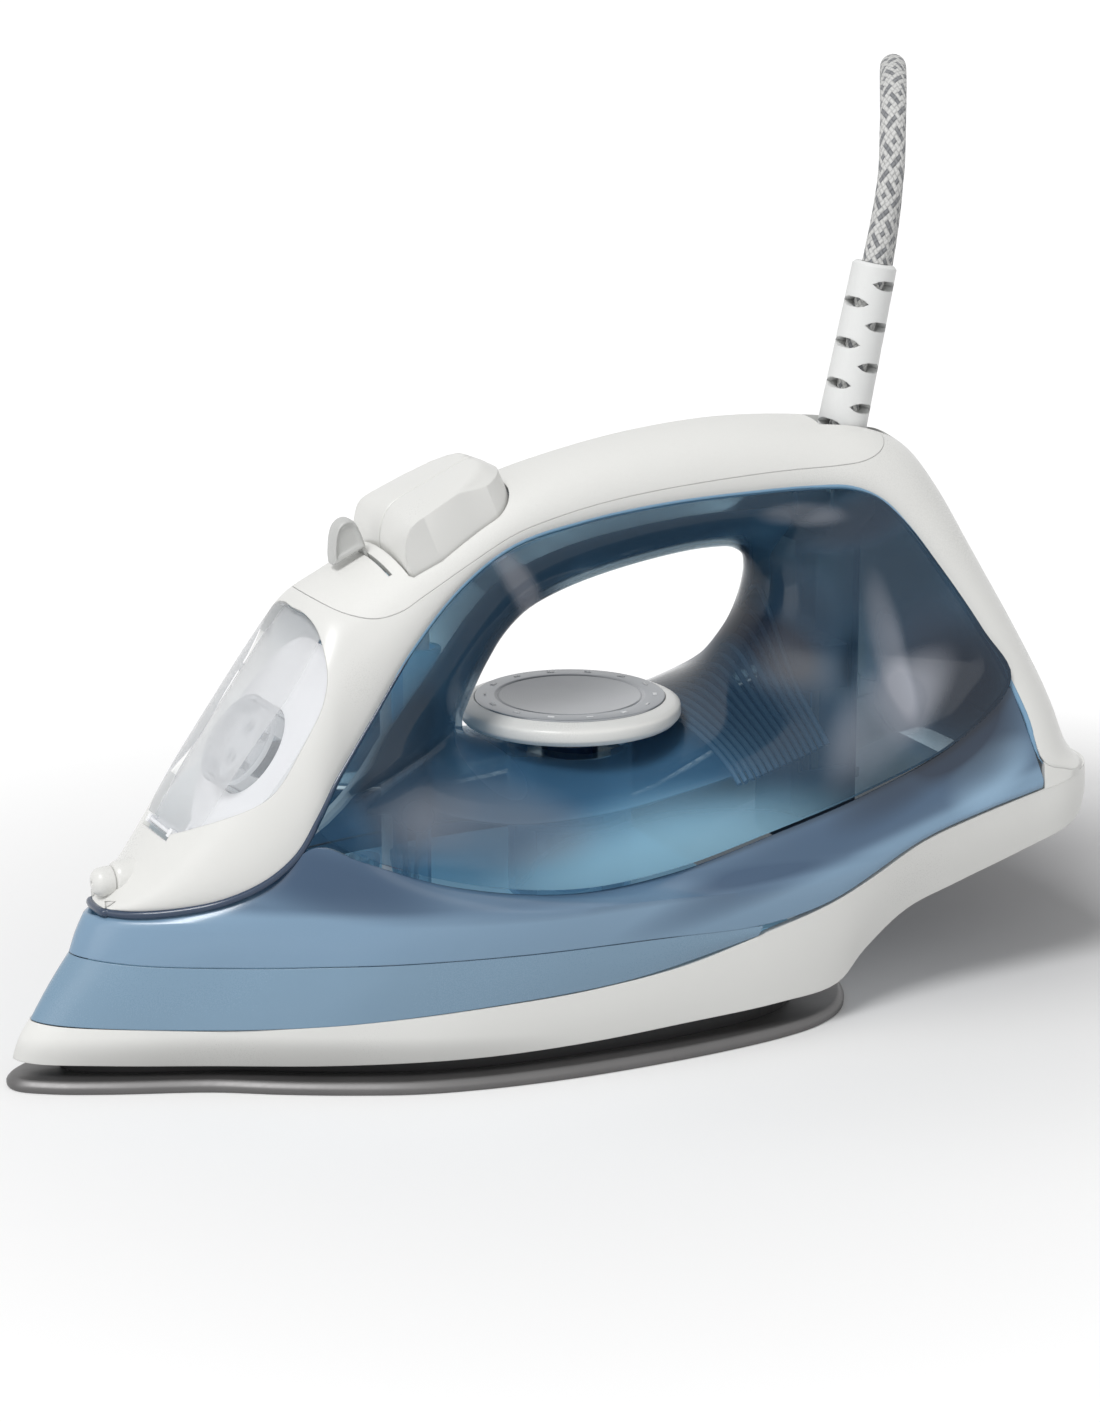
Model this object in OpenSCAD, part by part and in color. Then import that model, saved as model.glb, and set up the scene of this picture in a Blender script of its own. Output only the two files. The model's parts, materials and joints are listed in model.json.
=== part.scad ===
// Steam iron: soleplate, water tank, C-shaped handle shell, dial, buttons, lever and cord.
// +X points to the tip of the soleplate, +Y to the iron's left, +Z up. z = 0 is the face that irons.

/* [Body] */
// Length from the tip of the soleplate to the heel
body_length = 295; // [287:1:303]
// Greatest width, across the soleplate
body_width = 116; // [112:1:120]
// Height from the ironing face to the crown of the handle
body_height = 154; // [151:0.5:157]
// Wall of the white shells
shell_wall = 2.2; // [1.8:0.1:2.6]
// Wall of the blue tank mouldings
tank_wall = 1.8; // [1.5:0.1:2.1]
// Gap along the seams between shells
seam = 0.4; // [0.3:0.05:0.6]

/* [Sole] */
// Thickness of the soleplate
sole_thick = 3.3; // [2.8:0.1:3.8]
// Diameter of a steam vent
vent_dia = 2.6; // [2:0.1:3.2]
// How far the black heat shield stands in from the soleplate's edge
shield_inset = 7.5; // [7:0.25:8.5]
// Wall of the heat shield
shield_wall = 2; // [1.5:0.25:2.5]
// Thickness of the heater casting
casting_thick = 11.5; // [10.5:0.25:12]
// Diameter of the heating element's tube
element_dia = 7; // [6:0.25:7.5]
// Half the spacing of the heating element's two legs
element_half = 26; // [25:0.5:28]
// Thickness of the steam chamber's cover
cover_thick = 1.8; // [1.4:0.1:2.2]
// Diameter of the small screws
screw_dia = 3; // [2.5:0.1:3.5]
// Thickness of the tank's floor
floor_thick = 2; // [1.6:0.1:2.4]

/* [Dial] */
// Diameter of the temperature dial
dial_dia = 58.8; // [56:0.2:60]
// Height of the dial from its lower edge to its raised face
dial_thick = 6.3; // [5.6:0.1:7]
// Diameter of the thermostat's shaft
shaft_dia = 6; // [5:0.25:7]
// Outer diameter of the well under the dial
well_dia = 33; // [31:0.5:35]

/* [Controls] */
// Length of the two push buttons along the deck
button_length = 36; // [34:0.5:38]
// Width over both push buttons
button_width = 33; // [31:0.5:33.5]
// Height of a button above the deck
button_height = 9; // [8:0.25:10]
// Travel of a button
button_travel = 3; // [2.5:0.25:3.5]
// Swing of the steam lever to each side, in degrees
lever_swing = 30; // [24:1:32]
// Bore of a pump
pump_bore = 7; // [6.5:0.25:7.25]
// Wall of a pump cylinder
pump_wall = 1.4; // [1.2:0.1:1.5]
// Diameter of the fill funnel behind the inlet door
funnel_dia = 25; // [23:0.5:27]
// Diameter of the spray nozzle's cap
nozzle_dia = 7.6; // [7:0.1:8]

/* [Cord] */
// Diameter of the mains cord
cord_dia = 7; // [7:0.1:7.4]
// Outer diameter of the cord guard
guard_dia = 13.4; // [13:0.1:14]
// Length of the cord guard from its pivot
guard_length = 55; // [53:1:57]
// Lean of the cord guard towards the heel at rest, in degrees
guard_lean = 12; // [10:1:14]

/* [Fits] */
// Gap round a piece that moves past another
running = 0.35; // [0.3:0.05:0.5]
// Radial clearance of a shaft in its bore
shaft_fit = 0.06; // [0.02:0.01:0.1]

/* [Hidden] */

// The guide points below were drawn for this size of body and stretch with it.
drawn = [295, 116, 154];
stretch = [body_length / drawn.x, body_width / drawn.y, body_height / drawn.z];
tip_x = body_length / 2;

// A guide point is [distance back from the tip, half width, height].
function at(p) = [tip_x - p[0] * stretch.x, p[1] * stretch.y, p[2] * stretch.z];
function atx(d) = tip_x - d * stretch.x;
function atz(z) = z * stretch.z;

// ---- Curves ----
function unit(v) = v / max(norm(v), 0.000001);
function mix(a, b, t) = a * (1 - t) + b * t;
function gap(a, b) = sqrt(norm(b - a)) + 0.001;
// One span of a spline through a, b, c and d, from b to c
function span(a, b, c, d, t) =
  let(t1 = gap(a, b), t2 = t1 + gap(b, c), t3 = t2 + gap(c, d), u = t1 + (t2 - t1) * t)
  let(p = mix(a, b, u / t1), q = mix(b, c, (u - t1) / (t2 - t1)), r = mix(c, d, (u - t2) / (t3 - t2)))
  let(s = mix(p, q, u / t2), w = mix(q, r, (u - t1) / (t3 - t1)))
  mix(s, w, (u - t1) / (t2 - t1));
// Open and closed splines, with "cuts" steps in each span
function smooth(p, cuts) = let(n = len(p) - 1)
  [for (i = [0 : n - 1]) for (k = [0 : cuts - 1])
     span(i > 0 ? p[i - 1] : 2 * p[0] - p[1], p[i], p[i + 1],
          i < n - 1 ? p[i + 2] : 2 * p[n] - p[n - 1], k / cuts), p[n]];
function smooth_loop(p, cuts) = let(n = len(p))
  [for (i = [0 : n - 1]) for (k = [0 : cuts - 1])
     span(p[(i + n - 1) % n], p[i], p[(i + 1) % n], p[(i + 2) % n], k / cuts)];
function bezier(a, b, c, d, t) =
  a * pow(1 - t, 3) + b * 3 * t * pow(1 - t, 2) + c * 3 * t * t * (1 - t) + d * pow(t, 3);
function flip(p) = [p.x, -p.y, p.z];
function backwards(list) = [for (i = [len(list) - 1 : -1 : 0]) list[i]];
// Right rear, round the tip, to left rear
function both_sides(half) = concat([for (i = [len(half) - 1 : -1 : 1]) flip(half[i])], half);
// Closed round tip and heel: the last point of the half lies on the centre line too
function all_round(half) = concat([for (i = [len(half) - 1 : -1 : 1]) flip(half[i])],
                                  [for (i = [0 : len(half) - 2]) half[i]]);

// ---- A wall of even thickness on a grid of points, as one closed solid ----
// The grid's rows run so that (next row) x (next column) points out of the body.
function grid_normal(g, i, j, loop) =
  let(n = len(g), m = len(g[0]))
  let(a = loop ? g[(i + n - 1) % n][j] : g[max(i - 1, 0)][j])
  let(b = loop ? g[(i + 1) % n][j] : g[min(i + 1, n - 1)][j])
  unit(cross(b - a, g[i][min(j + 1, m - 1)] - g[i][max(j - 1, 0)]));
module wall(g, thick, loop = false) {
  n = len(g);
  m = len(g[0]);
  inner = [for (i = [0 : n - 1]) [for (j = [0 : m - 1]) g[i][j] - thick * grid_normal(g, i, j, loop)]];
  points = concat([for (row = g) for (p = row) p], [for (row = inner) for (p = row) p]);
  last = loop ? n - 1 : n - 2;
  half = n * m;
  function id(i, j) = (i % n) * m + j;
  skin = [for (i = [0 : last]) for (j = [0 : m - 2])
            let(a = id(i, j), b = id(i + 1, j), c = id(i + 1, j + 1), d = id(i, j + 1))
            each [[a, d, c], [a, c, b], [a + half, b + half, c + half], [a + half, c + half, d + half]]];
  rims = [for (i = [0 : last])
            let(a = id(i, 0), b = id(i + 1, 0), d = id(i, m - 1), c = id(i + 1, m - 1))
            each [[a, b, b + half], [a, b + half, a + half], [c, d, d + half], [c, d + half, c + half]]];
  ends = loop ? [] : [for (j = [0 : m - 2])
            let(a = id(0, j), d = id(0, j + 1), b = id(n - 1, j), c = id(n - 1, j + 1))
            each [[d, a, a + half], [d, a + half, d + half], [b, c, c + half], [b, c + half, b + half]]];
  polyhedron(points = points, faces = concat(skin, rims, ends), convexity = 10);
}
// A closed tube of even thickness along a path, with flat ends
function path_frames(p) = let(n = len(p))
  [for (i = [0 : n - 1]) unit(p[min(i + 1, n - 1)] - p[max(i - 1, 0)])];
module sweep(p, r, sides, up = [0, 1, 0]) {
  t = path_frames(p);
  n = len(p);
  rings = [for (i = [0 : n - 1])
             let(s = unit(cross(t[i], up)), w = cross(s, t[i]))
             [for (k = [0 : sides - 1]) p[i] + r * (cos(360 * k / sides) * s + sin(360 * k / sides) * w)]];
  points = [for (ring = rings) for (q = ring) q];
  body = [for (i = [0 : n - 2]) for (k = [0 : sides - 1])
            let(a = i * sides + k, b = i * sides + (k + 1) % sides)
            each [[a, b, b + sides], [a, b + sides, a + sides]]];
  caps = [backwards([for (k = [0 : sides - 1]) k]), [for (k = [0 : sides - 1]) (n - 1) * sides + k]];
  polyhedron(points = points, faces = concat(body, caps), convexity = 10);
}
// Evaluates its children as one closed mesh
module one_mesh() { resize([0, 0, 0]) children(); }
// A rounded rectangle, as a polygon
function rounded(w, h, r, steps = 6) =
  [for (q = [0 : 3]) for (k = [0 : steps])
     let(a = 90 * q + 90 * k / steps, sx = q == 0 || q == 3 ? 1 : -1, sy = q < 2 ? 1 : -1)
     [sx * (w / 2 - r) + r * cos(a), sy * (h / 2 - r) + r * sin(a)]];

// ---- Guide points: [back from the tip, half width, height] ----
sole_half = [[0, 0], [1.2, 4], [9, 10], [21, 16], [45, 26], [60, 35], [75, 43], [91, 50], [108, 54.3],
             [130, 57.2], [154, 58], [176, 57.2], [194, 55], [206, 51.5], [216, 45], [223, 35], [227, 22],
             [228.5, 8], [228.5, 0]];
// Lower edge of the white base, and of its heel
base_low = [[1.7, 0, 7.7], [5, 5, 7.4], [22, 14, 7], [46, 24.5, 6.6], [70, 37.5, 7], [92, 47.8, 7.8],
            [112, 52.3, 7.8], [137, 54.8, 8.2], [164, 56, 9.4], [192, 55.2, 10.2], [211, 52, 11.5],
            [221, 49, 18.5], [234, 48, 27.3], [250, 47.8, 32.5], [270, 47.8, 38.5], [285, 47.3, 43.5],
            [293, 41, 46.8], [294.3, 25, 47.3], [294.5, 0, 47.3]];
// Upper edge of the white base
base_high = [[6.6, 0, 17.2], [10.5, 6, 16.9], [27.5, 17.5, 16.8], [47, 27.2, 16.6], [70, 40.4, 18.4],
             [92, 49.3, 20.2], [111, 53.8, 21.6], [137, 56.2, 22.8], [163.7, 56.8, 25.4], [185, 56, 29.8],
             [207, 54.6, 34.8], [221, 53.6, 40], [236, 52.3, 46.8], [252, 51.4, 51], [270, 50.4, 54.8],
             [284, 49, 57.6], [292.8, 42, 59.4], [294.6, 26, 60], [295, 0, 60]];
// Dark seam along the blue belt; behind 188 it runs on the base's edge
belt_low = [[17.6, 0, 33.4], [20, 5, 33.1], [30, 14, 32.5], [53.5, 27.5, 32.4], [68, 36.4, 33.2], [87.5, 47, 34.2],
            [119, 54.8, 34.4], [154, 57, 33.9], [186, 56.2, 32.6], [207, 54.8, 35.6], [236, 52.5, 47.6],
            [256, 51.4, 52.6], [274, 50.5, 56.1]];
// Crease where the belt turns in to the shelf
belt_crease = [[21.6, 0, 42.6], [23.5, 4.5, 42.6], [36, 15.5, 43], [59.5, 30, 43.2], [73.5, 38, 44.2], [92, 48, 45.4],
               [122, 55.6, 45.3], [154, 56.9, 44.2], [184, 56.2, 42.4], [209, 54.6, 42.4],
               [236, 52.4, 50.2], [256, 51.3, 54.8], [274.4, 50.2, 58.7]];
// Inner edge of the shelf, under the nose and round the foot of the tank
shelf_in = [[23.8, 0, 42.9], [26, 3.2, 43.1], [42, 15, 45.6], [61.5, 26.4, 53.6], [71.8, 32, 62.8], [81.5, 39.1, 59.7],
            [102, 46.6, 52.6], [134, 49.4, 46.8], [163, 49.2, 48], [191, 48.6, 53.6], [222, 47.4, 61],
            [250, 45.6, 71], [267.6, 43.2, 83.4]];
// Outer profile of the C-shaped shell on the centre line, from the nose over the handle to the heel
spine = [[24.8, 0, 45.2], [27.4, 0, 47.8], [33.5, 0, 54], [41, 0, 63.5], [50.8, 0, 77.5], [60.7, 0, 91],
         [70.2, 0, 103.5], [78, 0, 114.2], [82.5, 0, 119.8], [91, 0, 124.4], [108, 0, 132.4],
         [125, 0, 139.4], [140, 0, 145], [160, 0, 149.8], [180, 0, 152.8], [203, 0, 154], [227, 0, 152.4],
         [243, 0, 149.6], [254.5, 0, 144], [262.5, 0, 134], [272, 0, 116], [283, 0, 93.5], [290, 0, 77.5],
         [293.8, 0, 66], [295, 0, 61.3]];
// Its inner edge, against the tank
edge = [[25.9, 5, 45.3], [31, 10.3, 45.4], [40, 16.5, 46.6], [51, 22.5, 49.4], [61, 27.5, 54.8],
        [68.5, 29.5, 61.5], [74, 30, 70.5], [79, 28.6, 78.3], [84, 27, 84.4], [91, 25.2, 93],
        [103, 22.3, 107.8], [118, 19.3, 121.7], [134, 17.3, 130.6], [155, 16.2, 134.6], [178, 16, 136.8],
        [201, 16.4, 137.4], [220, 17.8, 137.4], [231.5, 19.7, 136.6], [239.5, 22, 132.8],
        [246, 25, 125.6], [255, 31.3, 111], [265, 40, 92], [271, 46, 76.5], [275, 49.6, 63],
        [284, 49, 59.5]];
// Parting line between the handle cover and the C-shaped shell, seen from the side
cover_line = [[78.2, 122.5], [81.5, 120.4], [87, 117.6], [94, 116.2], [101, 117.6], [107, 120.6],
              [120, 127], [134, 133.2], [147, 136.4], [160, 138.6], [175, 140.2], [193, 141.3], [211, 142],
              [229, 142.2], [236, 142.8], [242, 144.6], [247, 147.6], [250, 151]];
// Rim of the inlet door's opening: [back, half width, height]
door_rim = [[40.5, 0, 62.6], [41, 7.5, 64], [51.5, 19.5, 68.9], [60.5, 25.5, 75], [70, 26.6, 86.9],
            [77, 25, 98.6], [79.5, 21.5, 106.5], [79.8, 14.5, 114], [79, 6.5, 117], [78.4, 0, 117.2]];
// Tank round the hand hole: outer edge, first tangent, rim of the hole and half width at the rim
tank_edge = [[72.4, 31.3, 67.2], [78.6, 29, 77.6], [85, 26.8, 85.5], [97, 23.8, 100.6], [112, 20.5, 116.5],
             [127, 18.2, 127.4], [150, 16.5, 134], [178, 16, 136.8], [203, 16.5, 137.4],
             [223, 18.2, 137.3], [236, 20.9, 135], [244, 24, 128], [253, 29.9, 114.4],
             [262, 37.4, 97.8], [267.5, 42.6, 85.4], [250.6, 45.2, 71.6], [222, 47, 61.8],
             [191, 48.2, 54.4], [163, 48.8, 48.8], [134, 49, 47.6], [102, 46.2, 53.4], [79, 37.3, 61.7]];
tank_lean = [[9, -1, 2], [10, -1.5, -1], [11, -1.5, -3], [11, -1, -6], [8, -0.5, -8], [4, 0, -8],
             [1, 0, -7], [0, 0, -6], [0, 0, -6], [-1, 0, -6], [-5, -0.5, -4], [-10, -1.5, -2],
             [-14, -2, 0], [-17, -1.5, 2], [-14, -0.5, 7], [-6, -1, 12], [-3, -1.5, 13], [-2, -1.5, 13],
             [0, -1.5, 13], [2, -1.5, 13], [5, -1.5, 12], [8, -2, 9]];
hole_rim = [[122, 16, 84], [122.6, 14.5, 89], [123.2, 13.5, 94.5], [125, 13, 101], [129, 12.5, 107.5],
            [137, 11.5, 113], [153, 10.5, 117.6], [178, 10, 121], [196, 10, 122], [206, 11, 120.5],
            [212, 13, 116.5], [214, 15, 110.5], [213.4, 17, 104], [210.5, 18.5, 97], [206, 20.5, 91],
            [199.5, 24, 83], [190, 28, 76.6], [176, 31, 72.6], [160, 32, 71.6], [145, 31, 72],
            [131, 27, 73.6], [124, 20.5, 78.4]];

// ---- Grids ----
cuts = 2;
function curve3(p) = smooth([for (q = p) at(q)], cuts);
// A belt between two curves, right rear to left rear, with "belly" standing out half way up
function belt_grid(low, high, steps, belly = 0) =
  let(a = both_sides(curve3(low)), b = both_sides(curve3(high)), n = len(a))
  [for (i = [0 : n - 1])
     let(out = unit(cross(a[min(i + 1, n - 1)] - a[max(i - 1, 0)], b[i] - a[i])))
     [for (k = [0 : steps]) mix(a[i], b[i], k / steps) + belly * sin(180 * k / steps) * out]];
function lift(p, h) = [for (q = p) [q[0], q[1], q[2] + h]];
arch_half = 6;
function arch_section(s, e) = let(w = e.y)
  [for (k = [0 : arch_half])
     bezier(s, [s.x, 0.82 * w, s.z], mix(e, [s.x, w, s.z], 0.42) + [0, 0.9, 0], e, k / arch_half)];
arch_grid = let(s = curve3(spine), e = curve3(edge))
  [for (i = [0 : len(s) - 1])
     let(h = arch_section(s[i], e[i]))
     concat(backwards(h), [for (k = [1 : arch_half]) flip(h[k])])];
tank_half = 7;
function tank_section(o, lean, rim) =
  let(start = o + (seam + 0.15) * unit([rim.x, o.y, rim.z] - o))
  [for (k = [0 : tank_half])
     bezier(start, start + lean, rim, [rim.x, 0, rim.z], k / tank_half)];
tank_grid =
  let(o = smooth_loop([for (q = tank_edge) at(q)], cuts), r = smooth_loop([for (q = hole_rim) at(q)], cuts))
  let(l = smooth_loop([for (q = tank_lean) [-q[0], q[1], q[2]]], cuts))
  [for (i = [0 : len(o) - 1])
     let(h = tank_section(o[i], l[i], r[i]))
     concat(h, [for (k = [tank_half - 1 : -1 : 0]) flip(h[k])])];

// Plan of the soleplate drawn in by "side" at the flanks and "front" at the tip
plan_mid = 150;
function plan(side, front, back) =
  let(kx = (plan_mid - front) / plan_mid, ky = (58 - side) / 58, kb = (78.5 - back) / 78.5)
  let(half = smooth([for (p = sole_half)
    [atx(plan_mid - (plan_mid - p[0]) * (p[0] < plan_mid ? kx : kb)), p[1] * ky * stretch.y]], cuts))
  concat(half, [for (i = [len(half) - 2 : -1 : 1]) [half[i].x, -half[i].y]]);
module slab(points, low, high) { translate([0, 0, low]) linear_extrude(high - low) polygon(points); }
// A belt's curve drawn in by "m" in plan and cut off behind "d_end", as a polygon
function drawn_in(curve, m, d_end) =
  let(h = [for (p = curve3(curve)) if (p.x > atx(d_end)) p], n = len(h))
  let(in = [for (i = [1 : n - 1])
    let(t = h[min(i + 1, n - 1)] - h[i - 1], u = unit([t.y, -t.x]))
    [h[i].x - m * abs(u.x), h[i].y - m * abs(u.y)]])
  let(q = [for (p = in) if (p.y > 7) p])
  concat([[q[0].x + q[0].y * 0.5, 0]], q, [for (i = [len(q) - 1 : -1 : 0]) [q[i].x, -q[i].y]]);

// ---- Levels and stations of the inside ----
casting_top = sole_thick + casting_thick;
cover_top = casting_top + cover_thick;
floor_low = 28.6;
floor_top = floor_low + floor_thick;
dial_x = atx(158);
dial_low = atz(77.5);
dial_high = dial_low + dial_thick;
well_low = floor_top + 21;
well_high = atz(70);
valve_x = atx(105.1);
pump_x = atx(112);
pump_half = 7.6;
pump_low = atz(80);
pump_high = atz(104);
pump_r = pump_bore / 2 + pump_wall;
// The deck under the thumb rises towards the handle; its frame has u up the slope and n out of it
deck_tilt = atan2(atz(139.4) - atz(124.4), atx(91) - atx(125));
deck_mid = [atx(116), 0, atz(135.4)];
module on_deck() { translate(deck_mid) rotate([0, deck_tilt, 0]) rotate([0, 0, 180]) children(); }
// The panel of the nose: its frame has n out of the panel and u up the slope
panel_low = at([41, 0, 63.5]);
panel_high = at([78, 0, 114.2]);
panel_tilt = atan2(panel_high.z - panel_low.z, panel_low.x - panel_high.x);
module on_panel() { translate(panel_low) rotate([0, panel_tilt, 0]) rotate([0, 0, 180]) children(); }
panel_span = norm(panel_high - panel_low);
guard_foot = [atx(237), 0, atz(138)];
// Swing of the cord guard towards the handle and away from it
guard_ahead = 18;
guard_behind = 12;
module on_guard() { translate(guard_foot) rotate([0, -guard_lean, 0]) children(); }

// ---- Soleplate and heater ----
vents = [for (k = [0 : 4]) for (s = [-1, 1]) [34 + 13 * k, s * (4.5 + 5.2 * k)],
         for (k = [0 : 5]) for (s = [-1, 1]) [104 + 14 * k, s * (33 - 1.5 * k)],
         for (k = [0 : 2]) [52 + 16 * k, 0]];
module soleplate() {
  color("silver")
    difference() {
      slab(plan(0, 0, 0), 0, sole_thick);
      for (v = vents)
        translate([atx(v[0]), v[1] * stretch.y, -1]) cylinder(d = vent_dia, h = sole_thick + 2, $fn = 24);
    }
}
element_front = atx(80);
element_back = atx(204);
element_z = casting_top - element_dia / 2 + 1.2;
module element_path(r) {
  for (s = [-1, 1])
    translate([element_back, s * element_half, element_z]) rotate([0, 90, 0])
      cylinder(r = r, h = element_front - element_back, $fn = 32);
  translate([element_front, 0, element_z]) rotate([0, 0, -90]) rotate_extrude(angle = 180, $fn = 64)
    translate([element_half, 0]) circle(r = r, $fn = 24);
}
chamber = [[90, 11], [110, 15], [150, 17], [185, 16], [192, 10]];
chamber_plan = concat([for (p = chamber) [atx(p[0]), p[1]]],
                      [for (i = [len(chamber) - 1 : -1 : 0]) [atx(chamber[i][0]), -chamber[i][1]]]);
cover_bolts = [for (d = [97, 181]) for (s = [-1, 1]) [atx(d), s * (d < 100 ? 8.5 : 12)]];
module heater_casting() {
  color("gainsboro")
    difference() {
      slab(plan(shield_inset + shield_wall + 2, 24, 21), sole_thick, casting_top);
      element_path(element_dia / 2 + 0.15);
      for (s = [-1, 1])
        translate([element_back - 30, s * element_half, element_z]) rotate([0, 90, 0]) cylinder(r = 2.2, h = 31, $fn = 24);
      difference() {
        translate([0, 0, casting_top - 6]) linear_extrude(7) polygon(chamber_plan);
        for (b = cover_bolts) translate([b.x, b.y, 0]) cylinder(d = screw_dia + 4, h = 30, $fn = 24);
        for (k = [0 : 2])
          translate([atx(118 + 17 * k), -9, 0]) cube([2.5, 18, 30]);
      }
      for (b = cover_bolts) translate([b.x, b.y, casting_top - 8]) cylinder(d = screw_dia, h = 9, $fn = 24);
    }
}
module heating_element() { color("dimgray") element_path(element_dia / 2); }
module element_terminals() {
  color("darkgray")
    for (s = [-1, 1])
      translate([element_back - 5.5, s * element_half, element_z + 0.4]) rotate([0, 90, 0])
        cylinder(d = 2.8, h = 5.5, $fn = 24);
}
seat_dia = 12;
module chamber_cover() {
  color("lightgray")
    difference() {
      slab([for (p = chamber_plan) [p.x + (p.x > atx(140) ? 3 : -3), p.y * 1.2]], casting_top, cover_top);
      for (b = cover_bolts)
        translate([b.x, b.y, casting_top - 1]) cylinder(d = screw_dia + 0.4, h = cover_thick + 2, $fn = 24);
      translate([valve_x, 0, casting_top - 1]) cylinder(d = 5, h = cover_thick + 2, $fn = 32);
    }
}
module screw(head_z, length) {
  translate([0, 0, head_z]) cylinder(d = screw_dia * 1.8, h = screw_dia * 0.7, $fn = 24);
  translate([0, 0, head_z - length]) cylinder(d = screw_dia - 0.1, h = length, $fn = 24);
}
module cover_screws() {
  color("silver") for (b = cover_bolts) translate([b.x, b.y, 0]) screw(cover_top, 8);
}
flange_low = 9.6;
module heat_shield() {
  color("black")
    difference() {
      union() {
        slab(plan(shield_inset, 14, 14.5), sole_thick, flange_low + 1.6);
        slab(drawn_in(base_low, shell_wall + 0.7, 206), flange_low + 1.6, flange_low + 3.2);
      }
      slab(plan(shield_inset + shield_wall, 18, 16.5), 0, 30);
    }
}
module thermostat() {
  color("wheat")
    translate([dial_x, 0, cover_top])
      difference() {
        union() {
          translate([-9, -6, 0]) cube([18, 12, 1.2]);
          cylinder(d = 11, h = 9.5, $fn = 48);
        }
        translate([0, 0, 3.5]) cylinder(r = shaft_dia / 2 + shaft_fit, h = 10, $fn = 48);
      }
}
module thermal_fuse() {
  color("ivory")
    translate([atx(201), 0, casting_top]) {
      translate([0, 0, 3.2]) rotate([90, 0, 0]) cylinder(d = 5, h = 18, center = true, $fn = 32);
      translate([-3.5, -6, 0]) cube([7, 12, 0.8]);
    }
}

// ---- White base ----
module base_shell() {
  low = all_round(smooth([for (p = base_low) at(p)], cuts));
  high = all_round(smooth([for (p = base_high) at(p)], cuts));
  n = len(low);
  color("white")
    wall([for (i = [0 : n - 1]) [for (k = [0 : 3])
      mix(low[i], high[i], k / 3)
      + 0.5 * sin(60 * k) * unit(cross(low[(i + 1) % n] - low[(i + n - 1) % n], high[i] - low[i]))]],
      shell_wall, loop = true);
}
heel_line = [[214.8, 11.6], [217, 13.4], [222, 19], [228, 24.2], [235, 28], [250, 32.6], [270, 38.6],
             [281, 42.1], [286, 43.8]];
module heel_floor() {
  line = smooth([for (p = heel_line) [atx(p[0]), atz(p[1])]], 2);
  n = len(line);
  top = [for (i = [0 : n - 1])
    let(t = unit(line[min(i + 1, n - 1)] - line[max(i - 1, 0)])) line[i] + shell_wall * [t.y, -t.x]];
  reach = 46.3 * stretch.y - shell_wall - seam;
  color("whitesmoke")
    difference() {
      translate([0, reach, 0]) rotate([90, 0, 0]) linear_extrude(2 * reach) polygon(concat(line, backwards(top)));
      for (s = [-1, 1]) translate([atx(262), s * 30, 30]) cylinder(d = screw_dia + 0.2, h = 14, $fn = 24);
    }
}
module heel_screws() {
  color("silver")
    for (s = [-1, 1]) translate([atx(262), s * 30, atz(36.2) + shell_wall + 0.9]) {
      cylinder(d = screw_dia * 1.8, h = 2, $fn = 24);
      translate([0, 0, -6]) cylinder(d = screw_dia, h = 6.5, $fn = 24);
    }
}

// ---- Blue belt and tank ----
skirt_last = 8;
function first(list, n) = [for (i = [0 : n]) list[i]];
skirt_low = [[6.8, 0, 17.2], [9, 4, 17], [18, 11.6, 16.9], [40, 23.6, 16.7], [59, 34.4, 17.5], [78, 44, 19],
             [112, 53.9, 21.8], [148, 56.6, 23.9], [184.5, 56.1, 29.7]];
module lower_skirt() {
  color("steelblue")
    wall(belt_grid(lift(skirt_low, seam), lift(first(belt_low, skirt_last), -seam), 2, 0.3), tank_wall);
}
module tank_belt() {
  side = belt_grid(belt_low, belt_crease, 2, 0.3);
  shelf = belt_grid(belt_crease, shelf_in, 3, 0.4);
  color("lightsteelblue")
    wall([for (i = [0 : len(side) - 1])
      concat([side[i][0] + [0, 0, seam], side[i][1], side[i][2]], [for (k = [1 : 3]) shelf[i][k]])], tank_wall);
}
module tank_shell() {
  color("cornflowerblue", 0.6)
    one_mesh()
      difference() {
        wall(tank_grid, tank_wall, loop = true);
        translate([dial_x, 0, atz(60)]) cylinder(d = well_dia + 2 * seam, h = 30, $fn = 64);
      }
}
module tank_floor() {
  color("lightsteelblue")
    difference() {
      slab(drawn_in(belt_low, tank_wall + 0.9, 200), floor_low, floor_top);
      translate([dial_x, 0, 0]) cylinder(d = shaft_dia + 2, h = 60, $fn = 48);
      translate([valve_x, 0, 0]) cylinder(d = seat_dia + 0.2, h = 60, $fn = 48);
    }
}
module dial_well() {
  color("lightblue", 0.6)
    translate([dial_x, 0, 0])
      difference() {
        translate([0, 0, floor_top]) cylinder(d = well_dia, h = well_high - floor_top, $fn = 96);
        translate([0, 0, well_low]) cylinder(d = well_dia - 2 * tank_wall, h = 60, $fn = 96);
        cylinder(d = shaft_dia + 2, h = 60, $fn = 48);
        translate([0, 0, floor_top - 1])
          difference() {
            cylinder(d = well_dia - 2 * tank_wall, h = well_low - floor_top - 1, $fn = 96);
            cylinder(d = shaft_dia + 6, h = 60, $fn = 48);
          }
      }
}
module dial_bush() {
  color("darkslategray")
    translate([dial_x, 0, 0])
      difference() {
        union() {
          translate([0, 0, well_high - 9]) cylinder(d = well_dia - 2 * tank_wall - 0.1, h = 7, $fn = 96);
          cylinder(d = 15, h = well_high + 1.2, $fn = 48);
        }
        translate([0, 0, -1]) cylinder(d = 30, h = well_high - 8, $fn = 96);
        cylinder(r = shaft_dia / 2 + shaft_fit, h = 100, $fn = 48);
      }
}

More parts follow.
